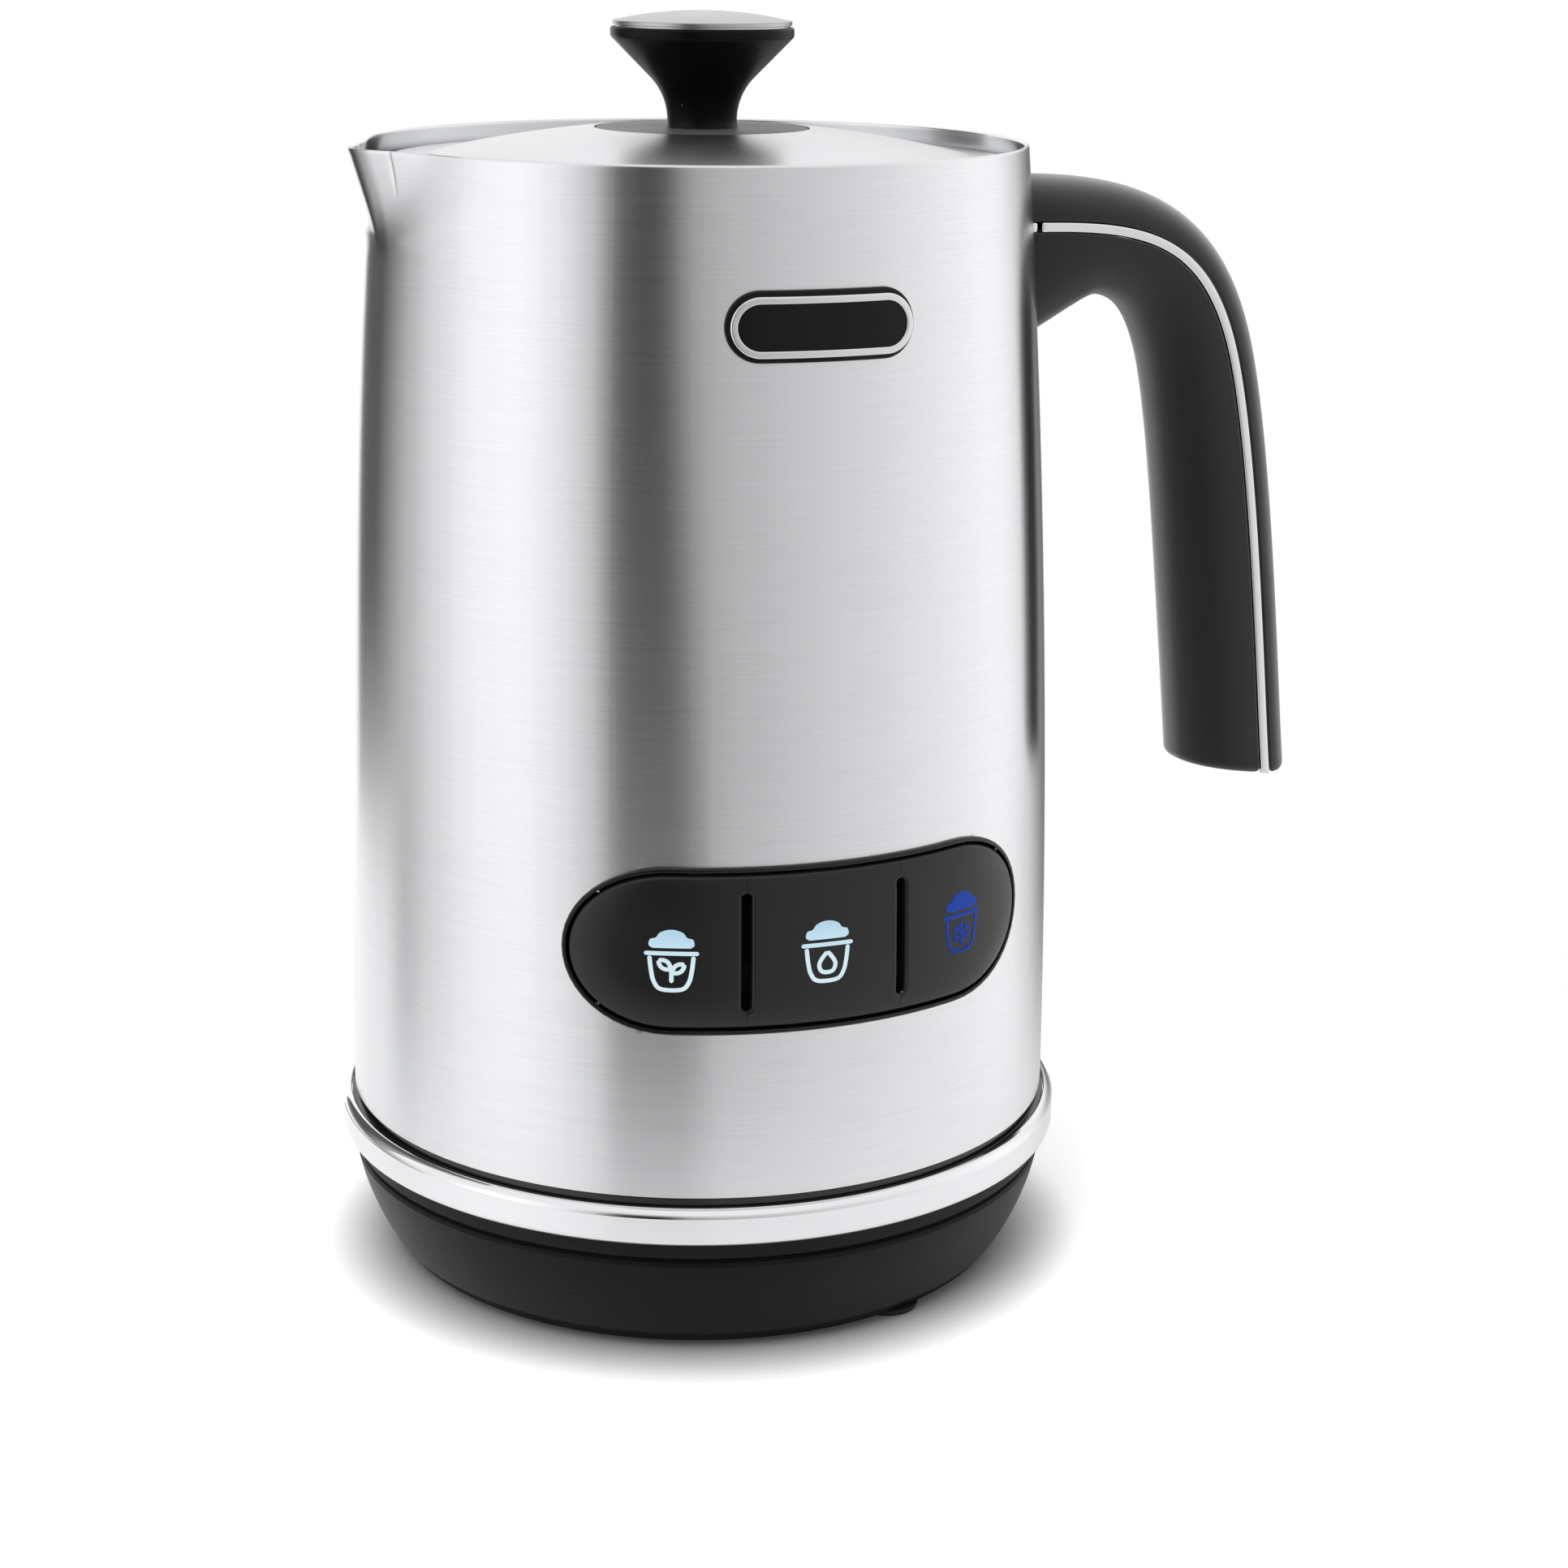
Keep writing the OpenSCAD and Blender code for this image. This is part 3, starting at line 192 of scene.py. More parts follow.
class Net:
    """Grids of points that are gathered into one mesh."""

    def __init__(self) -> None:
        """Starts with no points."""
        self.points: list[Array] = []
        self.quads: list[Array] = []
        self.size = 0

    def grid(self, p: Array, round_rows: bool = False, round_columns: bool = False,
             keep: Array | None = None) -> "Net":
        """Adds a grid of quads.

        Args:
            p: points, as rows by columns by three.
            round_rows: whether the last row joins the first.
            round_columns: whether the last column joins the first.
            keep: rows by columns of flags for the quads that stay; all stay without it.

        Returns:
            This net, so that calls can follow one another.
        """
        m, n = p.shape[:2]
        i = np.arange(m if round_rows else m - 1)[:, None]
        j = np.arange(n if round_columns else n - 1)[None]
        a, b = i * n, ((i + 1) % m) * n
        c, d = j, (j + 1) % n
        quads = np.stack([a + c, b + c, b + d, a + d], -1)
        quads = quads[keep] if keep is not None else quads.reshape(-1, 4)
        self.points.append(p.reshape(-1, 3))
        self.quads.append(quads + self.size)
        self.size += m * n
        return self

    def rod(self, p: Array) -> "Net":
        """Adds a grid whose columns go round, and closes both ends with a fan about their middle."""
        self.grid(p, round_columns=True)
        for end in (p[0], p[-1]):
            middle = np.repeat(end.mean(0, keepdims=True), len(end), 0)
            self.grid(np.stack([end, middle]), round_columns=True)
        return self

    def mesh(self, name: str, sharp: float = 35) -> bpy.types.Mesh:
        """Joins the grids where they meet and turns the faces outward.

        Args:
            name: name of the mesh.
            sharp: angle in degrees above which an edge stays sharp.

        Returns:
            The closed mesh.
        """
        mesh = bpy.data.meshes.new(name)
        mesh.from_pydata(np.concatenate(self.points), [], np.concatenate(self.quads))
        return settled(mesh, sharp)


def settled(mesh: bpy.types.Mesh, sharp: float = 35) -> bpy.types.Mesh:
    """Merges doubled points of a mesh, points its faces outward and shades it smooth up to an angle."""
    bm = bmesh.new()
    bm.from_mesh(mesh)
    bmesh.ops.remove_doubles(bm, verts=bm.verts, dist=2e-7)
    bmesh.ops.dissolve_degenerate(bm, edges=bm.edges, dist=1e-7)
    bmesh.ops.recalc_face_normals(bm, faces=bm.faces)
    bm.to_mesh(mesh)
    bm.free()
    mesh.shade_smooth()
    mesh.set_sharp_from_angle(angle=math.radians(sharp))
    return mesh


def turned(profile: Array, segments: int) -> Array:
    """Grid of a profile turned about Z.

    The point at angle a of a profile point (r, z) is (r sin a, -r cos a, z).

    Args:
        profile: rows of radius and height.
        segments: points round the axis.

    Returns:
        Points as segments by profile by three; its rows go round.
    """
    a = np.linspace(0, 2 * math.pi, segments, endpoint=False)[:, None]
    r, z = profile[:, 0][None], profile[:, 1][None]
    return np.stack([r * np.sin(a), -r * np.cos(a), z + 0 * a], -1)


def ring_mesh(name: str, profile: Array, segments: int, sharp: float) -> bpy.types.Mesh:
    """Mesh of a closed profile turned about Z, for hollow and for solid pieces."""
    return Net().grid(turned(profile, segments), True, True).mesh(name, sharp)


def place(mesh: bpy.types.Mesh, body: str, slot: str, finish: bpy.types.Material,
          replaces: Sequence[str] = ()) -> bpy.types.Object:
    """Puts a finished mesh in the scene on its body, with its finish.

    Args:
        mesh: the mesh, whose name the piece takes.
        body: CAD body that the piece rides on.
        slot: material slot of the record; not used.
        finish: material.
        replaces: CAD nodes that the piece stands for.

    Returns:
        The piece.
    """
    piece = bpy.data.objects.new(mesh.name, mesh)
    bpy.context.scene.collection.objects.link(piece)
    mesh.materials.clear()
    mesh.materials.append(finish)
    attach(piece, body)
    if replaces:
        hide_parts(*replaces)
    log.info("%s: %d faces on %s, finish %s", piece.name, len(mesh.polygons), body, finish.name)
    return piece


# ---- Shader nodes ----


class Graph:
    """Places and links nodes in a material, a world or a node group."""

    def __init__(self, tree: bpy.types.NodeTree) -> None:
        """Works on the given tree."""
        self.tree = tree

    def add(self, kind: str, feeds: dict | None = None, **settings) -> bpy.types.Node:
        """Adds a node.

        Args:
            kind: the node's type name.
            feeds: input names or numbers, and what feeds them: a socket or a value.
            settings: properties of the node.

        Returns:
            The node.
        """
        node = self.tree.nodes.new(kind)
        for name, value in settings.items():
            setattr(node, name, value)
        for key, value in (feeds or {}).items():
            if isinstance(value, bpy.types.NodeSocket):
                self.tree.links.new(value, node.inputs[key])
            else:
                node.inputs[key].default_value = value
        return node

    def math(self, operation: str, *values: object, clamp: bool = False) -> bpy.types.NodeSocket:
        """Result of a Math node on sockets and numbers."""
        node = self.add("ShaderNodeMath", dict(enumerate(values)), operation=operation, use_clamp=clamp)
        return node.outputs[0]

    def between(self, share: object, a: object, b: object) -> bpy.types.NodeSocket:
        """Value a times one less the share, plus b times the share."""
        rest = self.math("MULTIPLY", a, self.math("SUBTRACT", 1.0, share))
        return self.math("ADD", rest, self.math("MULTIPLY", b, share))

    def noise(self, place: object, scale: float, detail: float = 3, rough: float = 0.5) -> bpy.types.NodeSocket:
        """Value of a noise texture at a place."""
        feeds = {"Vector": place, "Scale": scale, "Detail": detail, "Roughness": rough}
        return self.add("ShaderNodeTexNoise", feeds).outputs["Fac"]

    def remap(self, value: object, a: float, b: float, low: object = 0.0,
              high: object = 1.0) -> bpy.types.NodeSocket:
        """Value moved from the range a to b over to the range low to high, and kept in it."""
        feeds = {"Value": value, "From Min": a, "From Max": b, "To Min": low, "To Max": high}
        return self.add("ShaderNodeMapRange", feeds).outputs[0]

    def blend(self, factor: object, a: object, b: object, mode: str = "MIX") -> bpy.types.NodeSocket:
        """Colour mixed from a to b."""
        feeds = {"Factor": factor, 6: a, 7: b}
        node = self.add("ShaderNodeMix", feeds, data_type="RGBA", blend_type=mode)
        return node.outputs[2]

    def stretched(self, place: object, x: float, y: float, z: float) -> bpy.types.NodeSocket:
        """Place with each coordinate multiplied."""
        node = self.add("ShaderNodeVectorMath", {0: place, 1: (x, y, z)}, operation="MULTIPLY")
        return node.outputs[0]

    def here(self) -> bpy.types.NodeSocket:
        """The point's own place on the object."""
        return self.add("ShaderNodeTexCoord").outputs["Object"]


def make_group(name: str, inputs: dict[str, float], outputs: Sequence[str],
               fill: Callable[[Graph, bpy.types.Node, bpy.types.Node], None]) -> bpy.types.NodeTree:
    """Builds a shader node group of values.

    Args:
        name: name of the group.
        inputs: names and starting values of its inputs.
        outputs: names of its outputs.
        fill: function that adds the nodes between the group's input and output nodes.

    Returns:
        The group.
    """
    tree = bpy.data.node_groups.new(name, "ShaderNodeTree")
    for key, value in inputs.items():
        socket = tree.interface.new_socket(name=key, in_out="INPUT", socket_type="NodeSocketFloat")
        socket.default_value = value
    for key in outputs:
        tree.interface.new_socket(name=key, in_out="OUTPUT", socket_type="NodeSocketFloat")
    graph = Graph(tree)
    fill(graph, graph.add("NodeGroupInput"), graph.add("NodeGroupOutput"))
    return tree


def fill_brushing(g: Graph, ins: bpy.types.Node, outs: bpy.types.Node) -> None:
    """Fine lines across Z: noise that is long round the jug and very short in height, in two sizes."""
    here = g.here()
    coarse = g.noise(g.stretched(here, 55, 55, 5200), 1, 4, 0.62)
    fine = g.noise(g.stretched(here, 160, 160, 15000), 1, 2, 0.6)
    wide = g.noise(g.stretched(here, 26, 26, 420), 1, 2, 0.5)
    lines = g.math("ADD", g.math("MULTIPLY", coarse, 0.55), g.math("MULTIPLY", fine, 0.45))
    cloud = g.remap(g.noise(here, 22, 3, 0.55), 0.35, 0.65)
    scratch = g.remap(g.noise(g.stretched(here, 95, 95, 9000), 1, 1, 0.5), 0.72, 0.8)
    scratches = g.math("MULTIPLY", scratch, ins.outputs["Scratched"])
    links = {"Lines": lines, "Bands": wide, "Cloud": cloud, "Scratches": scratches}
    for key, value in links.items():
        g.tree.links.new(value, outs.inputs[key])


def fill_turning(g: Graph, ins: bpy.types.Node, outs: bpy.types.Node) -> None:
    """Fine rings about Z: noise that depends on the distance from the axis alone."""
    split = g.add("ShaderNodeSeparateXYZ", {0: g.here()})
    square = g.math("ADD", g.math("MULTIPLY", split.outputs[0], split.outputs[0]),
                    g.math("MULTIPLY", split.outputs[1], split.outputs[1]))
    radius = g.add("ShaderNodeCombineXYZ", {0: g.math("SQRT", square), 1: g.math("MULTIPLY", split.outputs[2], 0.3)})
    g.tree.links.new(g.noise(radius.outputs[0], ins.outputs["Scale"], 3, 0.6), outs.inputs["Rings"])


def fill_grain(g: Graph, ins: bpy.types.Node, outs: bpy.types.Node) -> None:
    """Moulded grain: rounded cells roughened by noise, and a slow change of gloss over the piece."""
    here = g.here()
    cells = g.add("ShaderNodeTexVoronoi", {"Vector": here, "Scale": ins.outputs["Scale"]}, feature="SMOOTH_F1")
    bumps = g.noise(here, ins.outputs["Scale"], 3, 0.6)
    grain = g.math("SUBTRACT", bumps, g.math("MULTIPLY", cells.outputs["Distance"], 0.6))
    g.tree.links.new(grain, outs.inputs["Grain"])
    g.tree.links.new(g.remap(g.noise(here, 18, 3, 0.5), 0.3, 0.7), outs.inputs["Cloud"])


def fill_dust(g: Graph, ins: bpy.types.Node, outs: bpy.types.Node) -> None:
    """Dust: a few cells of a fine Voronoi pattern hold a speck at their middle."""
    here = g.here()
    cells = g.add("ShaderNodeTexVoronoi", {"Vector": here, "Scale": ins.outputs["Scale"], "Randomness": 1.0})
    speck = g.remap(cells.outputs["Distance"], 0.1, 0.22, 1.0, 0.0)
    pick = g.add("ShaderNodeSeparateXYZ", {0: cells.outputs["Color"]}).outputs[0]
    chosen = g.math("LESS_THAN", pick, ins.outputs["Share"])
    drift = g.remap(g.noise(here, 60, 2, 0.5), 0.4, 0.6)
    g.tree.links.new(g.math("MULTIPLY", g.math("MULTIPLY", speck, chosen), drift), outs.inputs["Specks"])


def fill_touch(g: Graph, ins: bpy.types.Node, outs: bpy.types.Node) -> None:
    """Wiping marks: soft patches with streaks in them, for the gloss of handled faces."""
    here = g.here()
    patch = g.remap(g.noise(here, ins.outputs["Scale"], 3, 0.6), 0.45, 0.65)
    streak = g.noise(g.stretched(here, 90, 90, 300), 1, 3, 0.6)
    g.tree.links.new(g.math("MULTIPLY", patch, streak), outs.inputs["Marks"])


def fill_level(g: Graph, ins: bpy.types.Node, outs: bpy.types.Node) -> None:
    """Share of the way from one height to another, for the painted highlight along a level edge and for the signs'
    change of colour with height.
    """
    z = g.add("ShaderNodeSeparateXYZ", {0: g.here()}).outputs[2]
    ragged = g.math("ADD", z, g.math("MULTIPLY", g.math("SUBTRACT", g.noise(g.here(), 700, 3), 0.5), 0.0006))
    g.tree.links.new(g.remap(ragged, ins.outputs["From"], ins.outputs["To"]), outs.inputs["Share"])


class Effects:
    """The shared node groups, each built once."""

    def __init__(self) -> None:
        """Builds the groups."""
        self.brushing = make_group("brushing", {"Scratched": 1.0}, ("Lines", "Bands", "Cloud", "Scratches"),
                                   fill_brushing)
        self.turning = make_group("turning", {"Scale": 9000.0}, ("Rings",), fill_turning)
        self.grain = make_group("grain", {"Scale": 2500.0}, ("Grain", "Cloud"), fill_grain)
        self.dust = make_group("dust", {"Scale": 900.0, "Share": 0.03}, ("Specks",), fill_dust)
        self.touch = make_group("touch", {"Scale": 35.0}, ("Marks",), fill_touch)
        self.level = make_group("level", {"From": 0.0, "To": 0.001}, ("Share",), fill_level)

    def use(self, g: Graph, group: bpy.types.NodeTree, **values: float) -> dict[str, bpy.types.NodeSocket]:
        """Places a group in a material with its own values, and returns its outputs by name."""
        node = g.add("ShaderNodeGroup", node_tree=group)
        for key, value in values.items():
            node.inputs[key].default_value = value
        return {socket.name: socket for socket in node.outputs}


EFFECTS = Effects()


def grey(value: float, tint: float = 0.0) -> tuple[float, float, float, float]:
    """Grey colour, with a little blue above zero tint or a little yellow below it."""
    return value * (1 - tint), value, value * (1 + tint), 1.0


def empty_material(name: str) -> tuple[bpy.types.Material, Graph]:
    """New material with no nodes in it, and its graph."""
    material = bpy.data.materials.new(name)
    material.use_nodes = True
    material.node_tree.nodes.clear()
    return material, Graph(material.node_tree)


@dataclass(frozen=True)
class Finish:
    """What every finish has: a name, a colour and a gloss."""

    name: str
    colour: tuple[float, float, float, float]
    roughness: float = 0.4

    def start(self, **fixed: object) -> tuple[bpy.types.Material, Graph, bpy.types.Node]:
        """Makes the material with its Principled shader.

        Args:
            fixed: shader values that are the same all over, with spaces as underscores.

        Returns:
            The material, its graph and its shader.
        """
        material, g = empty_material(self.name)
        shader = g.add("ShaderNodeBsdfPrincipled", {"Base Color": self.colour, "Roughness": self.roughness})
        for key, value in fixed.items():
            shader.inputs[key.replace("_", " ")].default_value = value
        g.add("ShaderNodeOutputMaterial", {"Surface": shader.outputs[0]})
        return material, g, shader

    def scaled(self, factor: float, plus: float = 0.0) -> tuple[float, float, float, float]:
        """The finish's colour times a factor, plus a little."""
        return tuple(factor * c + plus for c in self.colour[:3]) + (1.0,)

    def bump(self, g: Graph, shader: bpy.types.Node, height: object, depth: float) -> None:
        """Feeds the shader's normal from a height, in metres of depth."""
        node = g.add("ShaderNodeBump", {"Height": height, "Strength": 1.0, "Distance": depth})
        g.tree.links.new(node.outputs[0], shader.inputs["Normal"])

    def shade(self, g: Graph, shader: bpy.types.Node, factor: object, other: Sequence[float]) -> None:
        """Feeds the base colour with a mix from the finish's colour to another one."""
        g.tree.links.new(g.blend(factor, self.colour, tuple(other)), shader.inputs["Base Color"])

    def gloss(self, g: Graph, shader: bpy.types.Node, value: object, low: float, high: float) -> None:
        """Feeds the roughness with a value moved over to a range about the finish's own."""
        rough = g.remap(value, 0, 1, self.roughness + low, self.roughness + high)
        g.tree.links.new(rough, shader.inputs["Roughness"])


def paint_over(g: Graph, share: object, colour: Sequence[float]) -> None:
    """Mixes a colour into what feeds the base colour of a graph's Principled shader."""
    shader = next(n for n in g.tree.nodes if n.type == "BSDF_PRINCIPLED")
    old = shader.inputs["Base Color"].links[0].from_socket
    g.tree.links.new(g.blend(share, old, tuple(colour)), shader.inputs["Base Color"])


@dataclass(frozen=True)
class BrushedSteel(Finish):
    """Steel with brushed lines or lathe rings."""

    way: Brushing = Brushing.ROUND
    anisotropy: float = 0.92
    depth: float = 0.0000015

    def material(self) -> bpy.types.Material:
        """Builds the material: the lines change colour and gloss a little and stand up as a fine bump; along the
        spout's nose a darker grey is painted in as the nose's dark reflection.
        """
        round_lines = self.way is Brushing.ROUND
        m, g, s = self.start(Metallic=1.0, Anisotropic=self.anisotropy if round_lines else 0.3,
                             Anisotropic_Rotation=0.25 if round_lines else 0.0)
        touch = EFFECTS.use(g, EFFECTS.touch, Scale=28.0)["Marks"]
        if round_lines:
            brush = EFFECTS.use(g, EFFECTS.brushing, Scratched=0.5)
            lines = brush["Lines"]
            tone = g.math("ADD", g.math("MULTIPLY", lines, 0.88), g.math("MULTIPLY", brush["Bands"], 0.12))
            self.shade(g, s, g.remap(tone, 0.62, 0.36), self.scaled(0.93))
            mixed = g.math("ADD", g.math("ADD", g.math("MULTIPLY", lines, 0.7), g.math("MULTIPLY", touch, 0.2)),
                           g.math("MULTIPLY", brush["Scratches"], 0.3))
            self.gloss(g, s, mixed, -0.03, 0.04)
            self.bump(g, s, g.math("SUBTRACT", lines, brush["Scratches"]), self.depth)
            # Painted reflection: where the attribute "nose" is set along the spout's nose, a darker grey is mixed into
            # the base colour to stand in for the nose's dark reflection.
            nose = g.add("ShaderNodeAttribute").outputs["Fac"]
            nose.node.attribute_name = "nose"
            paint_over(g, nose, (0.48, 0.483, 0.495, 1.0))
        else:
            rings = EFFECTS.use(g, EFFECTS.turning, Scale=9000.0)["Rings"]
            self.shade(g, s, g.remap(rings, 0.6, 0.35), self.scaled(0.75))
            self.gloss(g, s, g.math("ADD", rings, touch), -0.05, 0.08)
            self.bump(g, s, rings, self.depth)
        return m


@dataclass(frozen=True)
class Polished(Finish):
    """Mirror-polished metal with the faint haze of wiping."""

    haze: float = 0.05

    def material(self) -> bpy.types.Material:
        """Builds the material: wiping marks raise the roughness, and fine swirls tilt the normal a little."""
        m, g, s = self.start(Metallic=1.0)
        touch = EFFECTS.use(g, EFFECTS.touch, Scale=45.0)["Marks"]
        cloud = EFFECTS.use(g, EFFECTS.grain, Scale=1500.0)
        dust = EFFECTS.use(g, EFFECTS.dust, Scale=1500.0, Share=0.012)["Specks"]
        self.shade(g, s, g.math("MULTIPLY", cloud["Cloud"], 0.5), self.scaled(0.93))
        self.gloss(g, s, g.math("ADD", touch, dust), 0.0, self.haze)
        self.bump(g, s, cloud["Grain"], 0.0000006)
        return m


@dataclass(frozen=True)
class Moulded(Finish):
    """Moulded plastic, from satin to grained, with a little dust."""

    grain: float = 2500.0
    depth: float = 0.00001
    dust: float = 0.01
    dust_scale: float = 1100.0
    coat: float = 0.0
    specular: float = 0.5
    sheen: float = 0.0
    sheen_rough: float = 0.35

    def material(self) -> bpy.types.Material:
        """Builds the material: the grain is a bump, and its hollows, marks and dust change colour and gloss."""
        m, g, s = self.start(Specular_IOR_Level=self.specular, Coat_Weight=self.coat, Coat_Roughness=0.12,
                             Sheen_Weight=self.sheen, Sheen_Roughness=self.sheen_rough)
        grain = EFFECTS.use(g, EFFECTS.grain, Scale=self.grain)
        dust = EFFECTS.use(g, EFFECTS.dust, Scale=self.dust_scale, Share=self.dust)["Specks"]
        touch = EFFECTS.use(g, EFFECTS.touch, Scale=40.0)["Marks"]
        raised = g.math("MULTIPLY", grain["Cloud"], g.remap(grain["Grain"], 0.0, 0.5))
        base = g.blend(raised, self.colour, self.scaled(1.25, 0.004))
        dusty = g.blend(dust, base, (0.34, 0.34, 0.33, 1.0))
        g.tree.links.new(dusty, s.inputs["Base Color"])
        worn = g.math("SUBTRACT", g.math("ADD", grain["Cloud"], g.math("MULTIPLY", grain["Grain"], 0.4)), touch)
        self.gloss(g, s, worn, -0.05, 0.06)
        self.bump(g, s, g.math("ADD", grain["Grain"], g.math("MULTIPLY", dust, 2.0)), self.depth)
        return m


@dataclass(frozen=True)
class Speckled(Moulded):
    """Dark glossy plastic with pale specks in it."""

    def material(self) -> bpy.types.Material:
        """Builds the moulded material and mixes fine specks of two sizes into its colour."""
        m = super().material()
        g = Graph(m.node_tree)
        fine = EFFECTS.use(g, EFFECTS.dust, Scale=3600.0, Share=0.3)["Specks"]
        big = EFFECTS.use(g, EFFECTS.dust, Scale=1900.0, Share=0.16)["Specks"]
        both = g.math("MAXIMUM", g.math("MULTIPLY", fine, 0.5), big, clamp=True)
        paint_over(g, both, (0.6, 0.6, 0.62, 1.0))
        return m


@dataclass(frozen=True)
class EdgeHighlit(Moulded):
    """Grained plastic with a dotted line of pale specks painted along an upper edge as an edge highlight."""

    edge: float = 0.0
    rim: tuple[float, float] = (0.06, 0.0606)

    def material(self) -> bpy.types.Material:
        """Builds the moulded material and mixes the painted highlight specks into its colour just under the outer edge.
        """
        m = super().material()
        g = Graph(m.node_tree)
        near = EFFECTS.use(g, EFFECTS.level, From=self.edge - 0.0007, To=self.edge - 0.0001)["Share"]
        glints = g.remap(g.noise(g.here(), 2600, 2, 0.6), 0.5, 0.58)
        some = g.remap(g.noise(g.here(), 140, 2, 0.5), 0.36, 0.56)
        x, y, _ = g.add("ShaderNodeSeparateXYZ", {0: g.here()}).outputs
        square = g.math("ADD", g.math("MULTIPLY", x, x), g.math("MULTIPLY", y, y))
        outer = g.remap(square, self.rim[0] ** 2, self.rim[1] ** 2)
        share = g.math("MULTIPLY", g.math("MULTIPLY", near, glints), g.math("MULTIPLY", some, outer))
        # Painted highlight: pale specks mixed into the colour just under the upper edge stand in for glints along it.
        paint_over(g, share, (0.5, 0.5, 0.48, 1.0))
        return m


@dataclass(frozen=True)
class PlainMetal(Finish):
    """Cast, plated or pressed metal of the inner pieces."""

    grain: float = 1200.0
    depth: float = 0.00002

    def material(self) -> bpy.types.Material:
        """Builds the material: a cast or pressed grain with duller patches."""
        m, g, s = self.start(Metallic=1.0)
        grain = EFFECTS.use(g, EFFECTS.grain, Scale=self.grain)
        self.shade(g, s, g.math("MULTIPLY", grain["Cloud"], 0.8), self.scaled(0.72))
        self.gloss(g, s, grain["Cloud"], -0.06, 0.12)
        self.bump(g, s, grain["Grain"], self.depth)
        return m


@dataclass(frozen=True)
class Lit(Finish):
    """A sign with a lamp behind it, whose colour runs from below to above."""

    top: tuple[float, float, float, float] = (1.0, 1.0, 1.0, 1.0)
    low_z: float = 0.0
    high_z: float = 0.01
    strength: float = 1.0

    def material(self) -> bpy.types.Material:
        """Builds the material: the lamp's colour runs from the finish's colour below to the top colour."""
        m, g, s = self.start(Emission_Strength=self.strength, Specular_IOR_Level=0.1)
        share = EFFECTS.use(g, EFFECTS.level, From=self.low_z, To=self.high_z)["Share"]
        uneven = g.remap(g.noise(g.here(), 500, 2), 0.3, 0.7, 0.0, 0.12)
        light = g.blend(share, self.colour, self.top)
        dimmer = g.blend(1.0, light, grey(0.6), "MULTIPLY")
        g.tree.links.new(g.blend(uneven, light, dimmer), s.inputs["Emission Color"])
        g.tree.links.new(g.blend(0.97, light, grey(0.004)), s.inputs["Base Color"])
        return m


